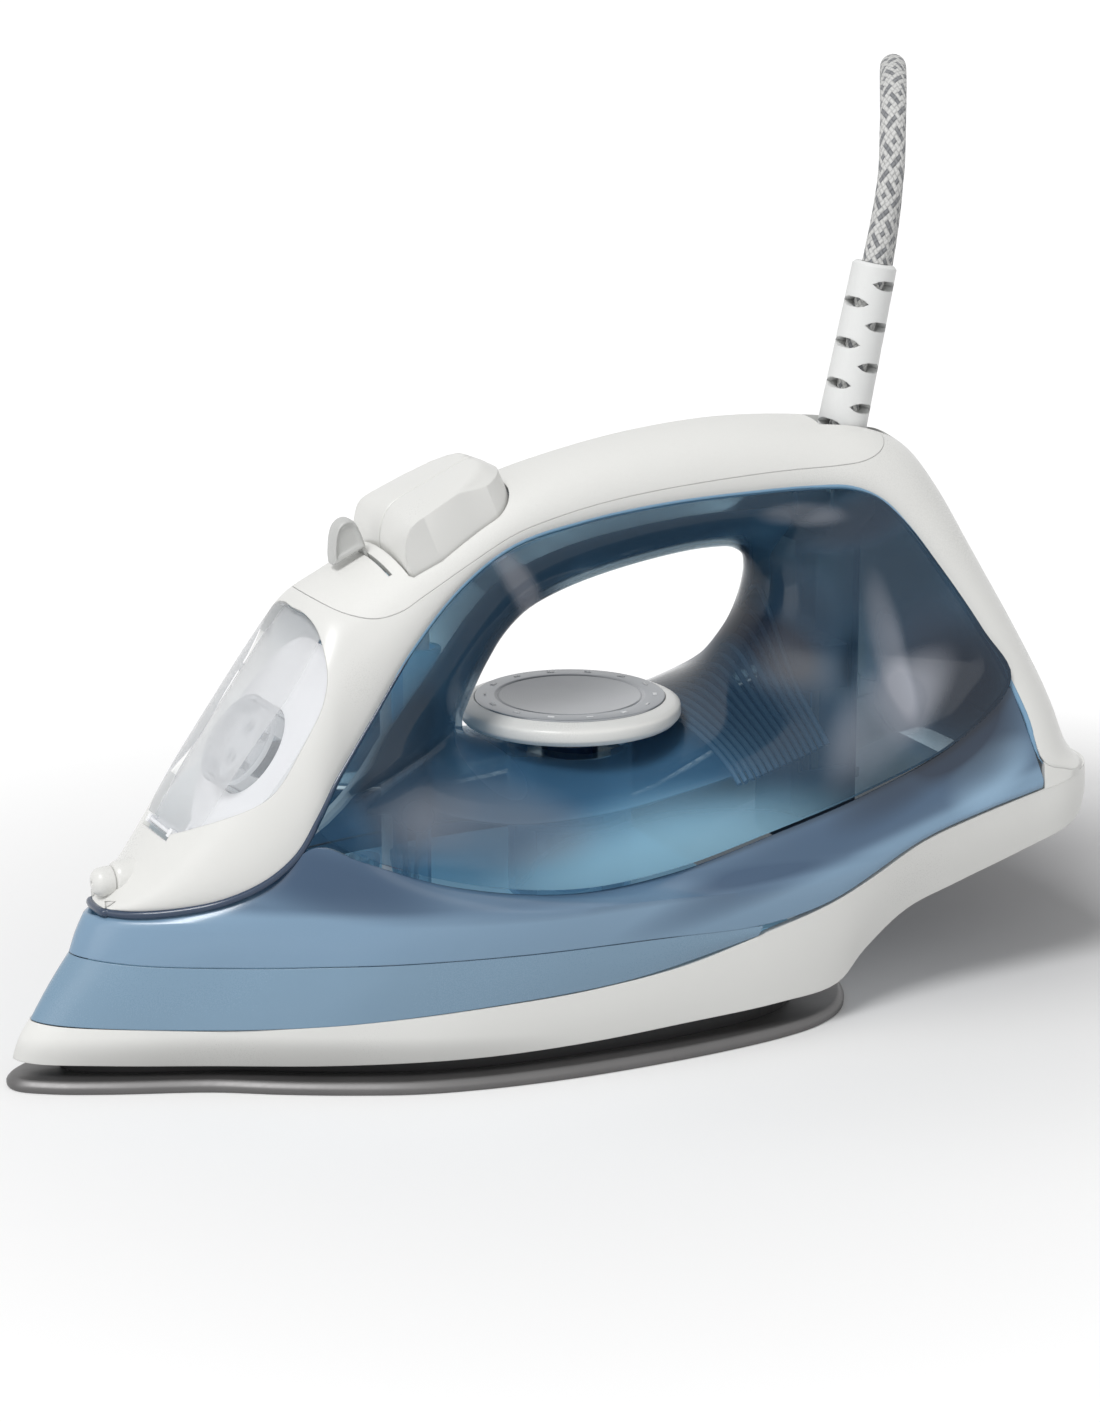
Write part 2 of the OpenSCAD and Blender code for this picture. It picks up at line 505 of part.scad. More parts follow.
// ---- Dial ----
dial_r = dial_dia / 2;
face_r = dial_r - 4.1;
module thermostat_shaft() {
  color("silver")
    translate([dial_x, 0, cover_top + 4]) cylinder(d = shaft_dia, h = dial_low + 4 - cover_top - 4, $fn = 48);
}
module dial_rim() {
  hub = shaft_dia / 2 + 3;
  color("white")
    translate([dial_x, 0, 0])
      difference() {
        rotate_extrude($fn = 128)
          polygon([[0, dial_low - 4.6], [hub, dial_low - 4.6], [hub, dial_low + 1], [dial_r - 3, dial_low + 1],
                   [dial_r - 3, dial_low], [dial_r - 0.3, dial_low], [dial_r, dial_low + 0.4],
                   [dial_r - 0.4, dial_low + dial_thick * 0.55], [face_r, dial_high - 0.3],
                   [face_r, dial_low + dial_thick * 0.7], [0, dial_low + dial_thick * 0.7]]);
        translate([0, 0, dial_low - 5]) cylinder(r = shaft_dia / 2 + 0.02, h = 9.001, $fn = 48);
      }
}
module dial_plate() {
  base = dial_low + dial_thick * 0.7;
  color("silver")
    translate([dial_x, 0, 0])
      rotate_extrude($fn = 128)
        polygon([[0, base], [face_r - 0.15, base], [face_r - 0.15, dial_high - 0.35], [face_r - 0.6, dial_high],
                 [19.6, dial_high], [19.2, dial_high - 0.5], [18.4, dial_high - 0.2], [12, dial_high - 0.9],
                 [6, dial_high - 1.2], [0, dial_high - 1.3]]);
}

// ---- Steam valve and lever ----
rod_dia = 3;
module valve_seat() {
  color("darkred")
    translate([valve_x, 0, cover_top])
      difference() {
        union() {
          cylinder(d = seat_dia, h = floor_top - cover_top + 1.5, $fn = 48);
          translate([0, 0, floor_low - cover_top - 1.4]) cylinder(d = seat_dia + 4, h = 1.4, $fn = 48);
        }
        translate([0, 0, -1]) cylinder(d = 2.2, h = 60, $fn = 32);
        translate([0, 0, floor_top - cover_top - 3]) cylinder(r = rod_dia / 2 + shaft_fit, h = 60, $fn = 48);
      }
}
axle_n = -16;
lever_u = -19;
rod_top = deck_mid.z + lever_u * sin(deck_tilt) + axle_n * cos(deck_tilt) - 6.4;
module valve_rod() {
  color("gray")
    translate([valve_x, 0, 0]) {
      translate([0, 0, floor_top - 0.2]) cylinder(d = rod_dia, h = rod_top - floor_top + 0.2, $fn = 32);
      translate([0, 0, rod_top - 12]) cylinder(d = rod_dia + 3, h = 2, $fn = 32);
    }
}
module lever_post() {
  color("gray") on_deck() translate([lever_u - 8, 0, axle_n]) rotate([0, 90, 0]) cylinder(d = 3, h = 14, $fn = 32);
}
module steam_lever() {
  fin = [[-8, 2], [-7.8, 3.6], [-4.4, 8.4], [-1.2, 11], [0.6, 11.2], [1.6, 10.2], [1.8, 8], [2, 2]];
  color("lightgray")
    on_deck() translate([lever_u, 0, 0]) {
      translate([0, 2.6, 0]) rotate([90, 0, 0]) linear_extrude(5.2) polygon(fin);
      translate([0.2, -2, axle_n + 2]) cube([1.6, 4, 1 - axle_n]);
      difference() {
        translate([-4, 0, axle_n]) rotate([0, 90, 0]) cylinder(r = 3.4, h = 6.4, $fn = 48);
        translate([-5, 0, axle_n]) rotate([0, 90, 0]) cylinder(r = 1.5 + shaft_fit, h = 9, $fn = 48);
      }
    }
}
module control_chassis() {
  color("slategray")
    difference() {
      on_deck() translate([lever_u, 0, axle_n]) {
        translate([-8, -4.4, -5.4]) cube([13.6, 8.8, 1.4]);
        for (u = [-7.6, 3.2])
          translate([u, -4.4, -5.4]) cube([2.2, 8.8, 8.4]);
        translate([-8, -14, -5.4]) cube([3, 28, 1.4]);
        for (s = [-1, 1]) translate([-6.5, s * 12, -5.4]) cylinder(d = 3, h = 14.8, $fn = 24);
      }
      on_deck() translate([lever_u - 8, 0, axle_n]) rotate([0, 90, 0]) cylinder(d = 3, h = 14, $fn = 32);
      translate([valve_x, 0, atz(90)]) cylinder(d = rod_dia + 1.4, h = 30, $fn = 32);
    }
}

// ---- Pumps and buttons ----
stem_dia = 4;
module pump_block() {
  color("lightsteelblue")
    difference() {
      union() {
        for (s = [-1, 1])
          translate([pump_x, s * pump_half, pump_low]) cylinder(r = pump_r, h = pump_high - pump_low, $fn = 48);
        translate([pump_x - 3.6, -pump_half, pump_low + 3]) cube([3, 2 * pump_half, pump_high - pump_low - 6]);
      }
      for (s = [-1, 1])
        translate([pump_x, s * pump_half, pump_low + 2]) cylinder(d = pump_bore, h = 60, $fn = 48);
      for (s = [-1, 1])
        translate([pump_x, s * pump_half, pump_low - 1]) cylinder(d = 3, h = 5, $fn = 24);
    }
}
plunger_rest = 10 + button_travel;
plunger_top = atz(120.5);
module plunger(s) {
  translate([pump_x, s * pump_half, 0]) {
    translate([0, 0, pump_low + plunger_rest]) cylinder(r = pump_bore / 2 - shaft_fit, h = 5, $fn = 48);
    translate([0, 0, pump_low + plunger_rest]) cylinder(d = stem_dia, h = plunger_top - pump_low - plunger_rest,
                                                        $fn = 32);
  }
}
module spray_plunger() { color("white") plunger(1); }
module steam_plunger() { color("white") plunger(-1); }
spring_turns = 4;
module pump_spring(s) {
  low = pump_low + 2.1;
  high = pump_low + plunger_rest - 0.1;
  steps = 9 * spring_turns;
  r = pump_bore / 2 - 1.1;
  sweep([for (k = [0 : steps])
    [pump_x + r * cos(40 * k), s * pump_half + r * sin(40 * k), low + 0.45 + (high - low - 0.9) * k / steps]],
    0.4, 6, [0, 0, 1]);
}
module spray_spring() { color("silver") pump_spring(1); }
module steam_spring() { color("silver") pump_spring(-1); }
button_front = -14;
button_low = -7;
button_split = 0.7;
button_wall = 1.8;
button_roof = 6;
crown = 28;
// Each button presses its plunger with a pin that reaches up into the button's roof
plunger_gap = 0.4;
button_pin_top = deck_mid.z - (pump_x - deck_mid.x) * tan(deck_tilt)
                 + (button_height - button_roof / 2) / cos(deck_tilt);
module mirrored(s) { if (s < 0) mirror([0, 1, 0]) children(); else children(); }
// Plan of one button: square at the front, rounded at the rear, "m" smaller all round
function button_plan(m) =
  let(w = button_width / 2, l = button_front + button_length, r = w * 0.62)
  concat([[button_front + m, m], [button_front + m, w - m - 0.8], [button_front + m + 0.8, w - m],
          [-5, w - m], [l * 0.36, w * 0.89 - m]],
         [for (a = [84 : -12 : 0]) [l - r + (r - m) * cos(a), w * 0.86 - r + (r - m) * sin(a)]],
         [[l - m, m]]);
module button_body() {
  top = button_height;
  back = button_front + button_length;
  intersection() {
    translate([0, button_split / 2, button_low]) linear_extrude(top - button_low) polygon(button_plan(0));
    translate([0, -1, 0]) rotate([90, 0, 0]) mirror([0, 0, 1]) linear_extrude(button_width)
      polygon([[button_front, button_low], [back, button_low], [back, 2.6], [back - 1.6, 5.2], [back - 4, top - 1.2],
               [back - 8, top - 0.2], [back - 14, top], [-3, top], [-5.6, top - 0.6], [-8, top - 2],
               [-10.6, top - 4.4], [-12.6, top - 7.4], [button_front, top - 11]]);
    translate([-30, 0, top - crown]) rotate([0, 90, 0]) cylinder(r = crown, h = 80, $fn = 96);
  }
}
module button(s) {
  on_deck()
    mirrored(s)
      difference() {
        button_body();
        translate([0, button_split / 2, button_low - 1])
          linear_extrude(button_height - button_roof - button_low + 1)
          polygon(button_plan(button_wall));
      }
  low = plunger_top + plunger_gap;
  translate([pump_x, -s * pump_half, low]) cylinder(d = 6, h = button_pin_top - low, $fn = 32);
}
module spray_button() { color("whitesmoke") button(-1); }
module steam_button() { color("whitesmoke") button(1); }
// The opening that both buttons run in
module button_opening(low, high) {
  g = running;
  h = [for (p = button_plan(-g)) if (p.y > 0) [p.x, p.y + button_split / 2]];
  n = len(h);
  plan = concat([[h[0].x, 0]], h, [[h[n - 1].x, 0]]);
  on_deck() translate([0, 0, low]) linear_extrude(high - low)
    polygon(concat(plan, [for (i = [len(plan) - 2 : -1 : 1]) [plan[i].x, -plan[i].y]]));
}
tube_spots = [[90, 20], [101, 21]];
module suction_tubes() {
  color("lightblue")
    for (p = tube_spots) translate([atx(p[0]), p[1] * stretch.y, floor_top])
      difference() {
        union() {
          cylinder(d = 4.4, h = 18, $fn = 32);
          translate([0, 0, 14]) cylinder(d1 = 5, d2 = 8, h = 8, $fn = 32);
          translate([0, 0, 22]) cylinder(d = 8, h = 2, $fn = 32);
        }
        translate([0, 0, 2]) cylinder(d = 2.6, h = 40, $fn = 24);
      }
  color("lightblue")
    for (s = [-1, 1])
      translate([pump_x, s * pump_half, floor_top]) cylinder(d = 4, h = pump_low - floor_top - 0.05, $fn = 24);
}
nozzle_d = 29.5;
nozzle_z = 51;
module on_nozzle() { translate([atx(nozzle_d), 0, atz(nozzle_z)]) rotate([0, 92, 0]) children(); }
hose_route = [[105.6, 7.6, 84], [101, 8.6, 81], [95, 9, 73], [85, 6, 61], [72, 2, 52], [57, 0, 48.6],
              [46, 0, 50.6], [38.7, 0, 51.3]];
module spray_hose() {
  color("gainsboro") sweep(smooth([for (p = hose_route) at(p)], 3), 1.6, 8);
}
module spray_nozzle() {
  color("white")
    on_nozzle()
      difference() {
        union() {
          translate([0, 0, -9]) cylinder(d = 5, h = 10, $fn = 32);
          rotate_extrude($fn = 64)
            polygon([[0, 0], [nozzle_dia / 2, 0], [nozzle_dia / 2, 3.4], [nozzle_dia / 2 - 0.5, 4.6],
                     [nozzle_dia / 2 - 1.5, 5.4], [0, 5.6]]);
        }
        translate([0, 0, -10]) cylinder(d = 1, h = 20, $fn = 16);
      }
}

// ---- C-shaped shell, handle cover and inlet door ----
module arch() { wall(arch_grid, shell_wall); }
module cover_region(grow) {
  line = smooth([for (p = cover_line) [atx(p[0]), atz(p[1])]], 2);
  shift = [for (p = line) [p.x, p.y - grow]];
  ends = [[atx(250) - grow, atz(190)], [atx(76) + grow, atz(190)], [atx(78.2) + grow, atz(122.5)]];
  translate([0, 60, 0]) rotate([90, 0, 0]) linear_extrude(120) polygon(concat(shift, ends));
}
// The door's outline in the panel's frame, drawn in by "m"
function door_plan(m) =
  let(axis = [-cos(panel_tilt), 0, sin(panel_tilt)])
  let(half = smooth([for (p = door_rim) let(q = at(p) - panel_low) [q * axis, q.y]], 2))
  let(n = len(half), mid = (half[0].x + half[n - 1].x) / 2)
  let(kx = (half[n - 1].x - mid - m) / (half[n - 1].x - mid), ky = 1 - m / 26)
  let(in = [for (p = half) [mid + (p.x - mid) * kx, p.y * ky]])
  concat(in, [for (i = [n - 2 : -1 : 1]) [in[i].x, -in[i].y]]);
module door_column(m, low, high) {
  on_panel() translate([0, 0, low]) linear_extrude(high - low) polygon(door_plan(m));
}
hinge_n = -1.5;
hinge_u = 1;
hinge_half = 6.3;
pin_r = 0.5;
cheek = 1.7;
module hinge_rod(r, half) {
  on_panel() translate([hinge_u, 0, hinge_n]) rotate([90, 0, 0]) cylinder(r = r, h = 2 * half, center = true, $fn = 24);
}
// The slot is as long as the lever's foot needs over its swing.
slot_half = (2 - axle_n) * sin(lever_swing) + 5;
module lever_slot() {
  on_deck() translate([lever_u + 0.2 - running, -slot_half, -10]) cube([1.6 + 2 * running, 2 * slot_half, 20]);
}
// The opening lets the guard swing, and shows a gap in front of it
module guard_opening() {
  reach = guard_dia / 2 + 0.5;
  back_angle = guard_lean + guard_behind;
  front = guard_foot.x + 17 * tan(guard_ahead - guard_lean) + reach;
  back = guard_foot.x - 12.5 * tan(back_angle) - reach / cos(back_angle);
  half = guard_dia / 2 + running + 0.4;
  translate([back, -half, atz(141)]) cube([front - back, 2 * half, 20]);
}
module c_frame() {
  color("white")
    one_mesh()
      difference() {
        arch();
        cover_region(seam / 2);
        button_opening(-14, 0);
        door_column(0, -15, 20);
        on_panel() translate([-1.2, -hinge_half - cheek - 0.5, -15]) cube([3, 2 * hinge_half + 2 * cheek + 1, 30]);
        on_nozzle() translate([0, 0, -9]) cylinder(d = nozzle_dia + 2 * running, h = 18, $fn = 32);
        guard_opening();
      }
}
module handle_cover() {
  color("white")
    one_mesh()
      difference() {
        intersection() {
          arch();
          cover_region(-seam / 2);
        }
        button_opening(-14, 20);
        lever_slot();
        guard_opening();
        door_column(-0.4, -15, 20);
      }
}
module inlet_door() {
  color("lightgray", 0.5)
    one_mesh()
      difference() {
        intersection() {
          arch();
          door_column(seam, -15, 20);
        }
        on_panel() translate([-5, -10, -15]) cube([5.2, 20, 30]);
        for (s = [-1, 1])
          on_panel() translate([-5, s > 0 ? hinge_half : -hinge_half - 6, -15]) cube([7.4, 6, 30]);
        hinge_rod(pin_r + 0.03, 12);
      }
}
module door_pin() { color("silver") hinge_rod(pin_r, hinge_half + cheek); }
tray_n = -13.5;
module inlet_tray() {
  color("gainsboro")
    difference() {
      union() {
        door_column(4.2, tray_n, tray_n + 1.5);
        for (s = [-1, 1])
          on_panel() translate([-0.1, s * (hinge_half + 0.15 + cheek / 2) - cheek / 2, tray_n]) {
            cube([7, cheek, 1.5]);
            cube([2.2, cheek, -0.9 - tray_n]);
          }
      }
      on_panel() translate([panel_span * 0.47, 0, tray_n - 1]) cylinder(d = funnel_dia + 0.2, h = 8, $fn = 64);
      hinge_rod(pin_r + shaft_fit, 12);
    }
}
module fill_funnel() {
  color("white", 0.5)
    on_panel() translate([panel_span * 0.47, 0, tray_n - 6]) difference() {
      cylinder(d = funnel_dia, h = 14, $fn = 64);
      translate([0, 0, -1]) cylinder(d = funnel_dia - 3, h = 10, $fn = 64);
      translate([0, 0, 10.4]) cylinder(d = funnel_dia - 3, h = 10, $fn = 64);
      for (a = [0 : 90 : 270]) rotate([0, 0, a + 45]) translate([6.3, 0, 0]) cylinder(d = 4, h = 20, $fn = 24);
    }
}

// ---- Rear: chassis, terminals, lamp, guard ----
chassis_back = 240;
chassis_long = 20;
chassis_front = chassis_back - chassis_long;
module rear_chassis() {
  low = atz(36);
  high = atz(121);
  long = chassis_long * stretch.x;
  color("darkslategray")
    translate([atx(chassis_back), 0, 0])
      difference() {
        translate([0, -10, low]) cube([long, 20, high - low]);
        translate([2, -11, low + 20]) cube([long - 4, 22, high - low - 24]);
        translate([2, -8, low - 1]) cube([long - 4, 16, high - low - 2]);
      }
}
module terminal_block() {
  color("ivory")
    translate([atx(chassis_back) + 2, 0, atz(78)]) difference() {
      translate([0, -8, 0]) cube([chassis_long * stretch.x - 4, 16, 12]);
      for (k = [-1 : 1]) translate([8, 5 * k, 4]) cylinder(d = 3, h = 20, $fn = 24);
    }
}
module mains_leads() {
  color("brown")
    for (k = [-1 : 1]) {
      route = [[230, 5 * k, 77.8], [230, 5 * k, 60], [230, 5 * k, 44], [227, 5.5 * k, 34], [217, 6 * k, 25.5],
               [208, 7 * k, 22.5], [203, 8 * k + 1, 21.2]];
      sweep(smooth([for (p = route) at(p)], 2), 1.1, 6);
    }
}
module pilot_lamp() {
  color("deepskyblue")
    translate([atx(chassis_front) + 0.05, 5, atz(92)]) rotate([0, 90, 0]) cylinder(d = 6, h = 5, $fn = 32);
}
cradle_half = 9;
trunnion_dia = 6;
module guard_cradle() {
  color("darkslategray")
    difference() {
      union() {
        for (s = [-1, 1])
          translate([guard_foot.x - 6, s * (cradle_half + 1) - 1, atz(121)]) cube([12, 2, guard_foot.z - atz(121) + 4]);
        translate([guard_foot.x - 8, -10, atz(121)]) cube([16, 20, 2]);
      }
      translate([guard_foot.x, 15, guard_foot.z]) rotate([90, 0, 0])
        cylinder(r = trunnion_dia / 2 + shaft_fit, h = 30, $fn = 48);
      translate([guard_foot.x, 0, atz(120)]) cylinder(d = cord_dia + 1, h = 5, $fn = 32);
    }
}
core_r = cord_dia / 2;
slot_pitch = 5.5;
// The outline of a slot in the cord guard
lens = [[-4.3, 0], [-3.2, 0.85], [-1.7, 1.3], [1.7, 1.3], [3.2, 0.85], [4.3, 0], [3.2, -0.85], [1.7, -1.3],
        [-1.7, -1.3], [-3.2, -0.85]];
module cord_guard() {
  color("white")
    on_guard()
      difference() {
        union() {
          rotate([90, 0, 0]) cylinder(d = 14.4, h = 2 * (cradle_half - running), center = true, $fn = 48);
          rotate([90, 0, 0]) cylinder(d = trunnion_dia, h = 2 * (cradle_half + 2), center = true, $fn = 48);
          rotate_extrude($fn = 64)
            polygon([[0, 4], [guard_dia / 2, 6.4], [guard_dia / 2 - 0.7, guard_length - 0.8],
              [guard_dia / 2 - 1.5, guard_length], [0, guard_length]]);
        }
        translate([0, 0, -20]) cylinder(r = core_r + 0.1, h = guard_length + 40, $fn = 48);
        for (k = [0 : 7]) rotate([0, 0, k % 2 == 0 ? 109 : 19])
          for (s = [0, 180]) rotate([0, 0, s])
            translate([0, 0, 11.1 + slot_pitch * k]) rotate([90, 0, 0]) linear_extrude(20) polygon(lens);
      }
}
module cord_core() {
  color("gray") on_guard() translate([0, 0, -6]) cylinder(r = core_r, h = guard_length + 6, $fn = 48);
}

// ---- Cord ----
// The route starts at the guard's end, falls behind the iron and lies on the floor up to the coil.
exit = guard_foot + guard_length * [-sin(guard_lean), 0, cos(guard_lean)];
cord_points = [[-105.8, -1, 215], [-108.4, -5, 226], [-113.4, -13.4, 235.4], [-120.4, -25.4, 239.6],
               [-128, -38.4, 237], [-134.6, -49, 228], [-138.6, -55, 215], [-139.8, -57.6, 200],
               [-138.4, -59, 182], [-135.4, -60.6, 162], [-131.6, -62.6, 140], [-128, -64.6, 116],
               [-125.4, -66.2, 90], [-124.2, -67, 64], [-124, -67, 40], [-121.3, -67, 26],
               [-113.6, -67, 14.2], [-102, -67, 6.4], [-88, -67, 3.6]];
coil_mid = [-84, -119.8, 0.9];
coil_r = 38.5;
coil_wide = 3;
coil_high = 2;
module cord_run() {
  axis = [-sin(guard_lean), 0, cos(guard_lean)];
  color("gray") sweep(smooth(concat([exit + 0.05 * axis, exit + 12 * axis], cord_points), 3), core_r, 8);
}
module cord_coil() {
  wide = coil_wide * cord_dia;
  color("gray")
    translate(coil_mid) rotate_extrude($fn = 96) translate([coil_r, coil_high * cord_dia / 2])
      polygon(rounded(wide, coil_high * cord_dia, 3, 3));
}
plug_x = -36;
plug_y = -76;
plug_z = 12;
// The tail leaves the coil on top of the run's end.
tail_points = [[-91, -67.6, 12], [-80, -67, 11.4], [-68, -68.6, 11.4], [-57, -72.4, 11.6], [-47, -75.4, 12]];
module cord_tail() {
  color("gray") sweep(smooth(concat(tail_points, [[plug_x - 0.15, plug_y, plug_z]]), 3), core_r, 8);
}
module cord_tie() {
  wide = coil_wide * cord_dia;
  high = coil_high * cord_dia;
  color("dimgray")
    translate([coil_mid.x - coil_r, coil_mid.y, coil_mid.z])
      rotate([90, 0, 0]) translate([0, high / 2, -4]) linear_extrude(8)
        difference() {
          polygon(rounded(wide + 2.6, high + 1.8, 3.5, 3));
          polygon(rounded(wide + 1.2, high + 0.2, 2.8, 3));
        }
}
module plug_body() {
  color("gray")
    translate([plug_x, plug_y, plug_z]) rotate([0, 90, 0]) {
      cylinder(d1 = 9, d2 = 15, h = 18, $fn = 32);
      translate([0, 0, 18]) cylinder(d = 24, h = 17, $fn = 48);
      translate([0, 0, 35]) cylinder(d = 22, h = 5, $fn = 48);
    }
}
module plug_pins() {
  color("silver")
    for (s = [-1, 1])
      translate([plug_x + 40, plug_y + 9.5 * s, plug_z]) rotate([0, 90, 0]) cylinder(d = 4.8, h = 19, $fn = 24);
}

soleplate();
heater_casting();
heating_element();
element_terminals();
chamber_cover();
cover_screws();
heat_shield();
thermostat();
thermal_fuse();
base_shell();
heel_floor();
heel_screws();
lower_skirt();
tank_belt();
tank_shell();
tank_floor();
dial_well();
dial_bush();
thermostat_shaft();
dial_rim();
dial_plate();
valve_seat();
valve_rod();
lever_post();
steam_lever();
control_chassis();
pump_block();
spray_button();
steam_button();
spray_plunger();
steam_plunger();
spray_spring();
steam_spring();
suction_tubes();
spray_hose();
spray_nozzle();
c_frame();
handle_cover();
inlet_door();
door_pin();
inlet_tray();
fill_funnel();
rear_chassis();
terminal_block();
mains_leads();
pilot_lamp();
guard_cradle();
cord_guard();
cord_core();
cord_run();
cord_coil();
cord_tail();
cord_tie();
plug_body();
plug_pins();
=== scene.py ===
# %% [markdown]
# # A steam iron, dressed over its construction
# The construction model gives every solid part of the iron its place and its real size.
# This lesson dresses that model: it gives smooth skins to the moulded shells, clear and
# milky plastics, metal, a braided cord and soft studio light.
# It starts by loading the construction as a fixed frame, in metres, and keeps its box.

# %% Load the frame
import json
from math import atan2, cos, pi, radians, sin, sqrt

import bmesh
import bpy
import numpy as np
from mathutils import Matrix, Vector

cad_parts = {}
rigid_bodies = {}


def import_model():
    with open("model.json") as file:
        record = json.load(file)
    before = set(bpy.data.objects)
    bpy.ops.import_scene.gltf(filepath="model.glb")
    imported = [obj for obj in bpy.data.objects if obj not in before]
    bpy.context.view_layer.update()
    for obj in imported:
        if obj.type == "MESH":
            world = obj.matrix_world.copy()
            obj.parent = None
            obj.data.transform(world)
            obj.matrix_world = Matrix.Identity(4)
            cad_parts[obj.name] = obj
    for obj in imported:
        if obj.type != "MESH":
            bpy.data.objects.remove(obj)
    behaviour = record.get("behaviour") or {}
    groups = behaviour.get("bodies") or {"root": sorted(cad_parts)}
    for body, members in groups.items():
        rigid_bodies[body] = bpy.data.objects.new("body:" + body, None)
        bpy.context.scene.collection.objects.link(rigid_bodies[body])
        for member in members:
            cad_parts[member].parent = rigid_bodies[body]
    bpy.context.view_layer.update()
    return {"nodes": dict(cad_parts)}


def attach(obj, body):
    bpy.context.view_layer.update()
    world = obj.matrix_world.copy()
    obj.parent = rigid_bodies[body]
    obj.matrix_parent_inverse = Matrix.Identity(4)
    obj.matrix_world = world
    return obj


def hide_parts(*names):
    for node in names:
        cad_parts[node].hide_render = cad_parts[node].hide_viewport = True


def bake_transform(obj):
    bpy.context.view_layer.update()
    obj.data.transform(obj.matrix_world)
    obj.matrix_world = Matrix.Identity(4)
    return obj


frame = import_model()
nodes = frame["nodes"]
MM = 0.001
TIP = 147.5

# %% [markdown]
# ## Camera and light
# The iron is seen from its left and a little in front, from just above the handle, with a
# long lens, as a shop shows such an object. A long lens keeps the sole's sides parallel.
# One very soft sun gives the shadow behind the heel. The world gives the rest of the light.
# To the camera, to mirrors and to clear plastic the world and the floor look white, and the
# floor still darkens where the iron stands in the sun's way.

# %% Camera
scene = bpy.context.scene
scene.view_settings.view_transform = "Standard"
LOOK_AT = Vector((-0.0031, 0.0033, 0.0809))
TURN, RISE, AWAY = radians(26), radians(16), 1.0
LENS_TO_FRAME, SENSOR = 3810 / 1422, 36
back = Vector((sin(TURN) * cos(RISE), cos(TURN) * cos(RISE), sin(RISE)))


def add_object(name, data):
    ob = bpy.data.objects.new(name, data)
    scene.collection.objects.link(ob)
    return ob


lens = bpy.data.cameras.new("shop_lens")
lens.sensor_fit = "AUTO"
lens.sensor_width = SENSOR
lens.lens = LENS_TO_FRAME * SENSOR
lens.clip_end = 60
camera = add_object("shop_camera", lens)
camera.location = LOOK_AT + back * AWAY
camera.rotation_euler = back.to_track_quat("Z", "Y").to_euler()
scene.camera = camera
print("camera stands at", [round(c, 4) for c in camera.location])

# %% [markdown]
# ## Two small helpers for nodes
# A finish is a tree of nodes. Written as plain links, even a sum takes many lines.
# `Level` wraps one socket that carries a number and adds Math nodes when it is used in an
# expression, so a mask can be written as 1 - stripe * 0.4.
# `Nodes` adds any other node, with its settings and inputs, in one line.

# %% Node helpers
def rule(how, flip=False):
    """A method of Level that adds one Math node; flip puts the Level itself last."""
    def method(self, *others):
        return self.math(how, *others, flip=flip)
    return method


class Level:
    def __init__(self, tree, socket):
        self.tree, self.socket = tree, socket

    def math(self, how, *others, flip=False):
        n = self.tree.nodes.new("ShaderNodeMath")
        n.operation = how
        values = [self, *others]
        for i, v in enumerate(values[::-1] if flip else values):
            if isinstance(v, Level):
                self.tree.links.new(v.socket, n.inputs[i])
            else:
                n.inputs[i].default_value = v
        return Level(self.tree, n.outputs[0])

    __add__ = __radd__ = rule("ADD")
    __sub__ = rule("SUBTRACT")
    __rsub__ = rule("SUBTRACT", flip=True)
    __mul__ = __rmul__ = rule("MULTIPLY")
    __truediv__ = rule("DIVIDE")
    __gt__ = rule("GREATER_THAN")
    wave = rule("SINE")
    size = rule("ABSOLUTE")
    root = rule("SQRT")
    floor = rule("FLOOR")
    rest = rule("FLOORED_MODULO")
    at_least = rule("MAXIMUM")
    at_most = rule("MINIMUM")

    def clamp(self):
        return self.at_least(0.0).at_most(1.0)

    def eased(self):
        return self * self * (3.0 - 2.0 * self)

    def step(self, low, high):
        return ((self - low) / (high - low)).clamp().eased()


class Nodes:
    def node(self, kind, inputs=None, **settings):
        n = self.tree.nodes.new(kind)
        for key, value in settings.items():
            setattr(n, key, value)
        for key, value in (inputs or {}).items():
            self.feed(n.inputs[key], value)
        return n

    def feed(self, socket, value):
        """Joins a node, a socket or a Level to an input, or writes a plain value in it."""
        if isinstance(value, Level):
            value = value.socket
        if isinstance(value, bpy.types.Node):
            value = value.outputs[0]
        if isinstance(value, bpy.types.NodeSocket):
            self.tree.links.new(value, socket)
        elif isinstance(value, tuple) and len(value) == 3 and len(socket.default_value) == 4:
            socket.default_value = (*value, 1)
        else:
            socket.default_value = value


print("helpers for nodes:", Level.__name__, "and", Nodes.__name__)

# %% [markdown]
# ## What finishes share
# `Finish` makes one material, or the world, and has the patterns that the finishes share:
# noise, a mask for surfaces that turn away from the eye, soft patches in the side view, and
# the mix of see-through and surface that stands for clear plastic.

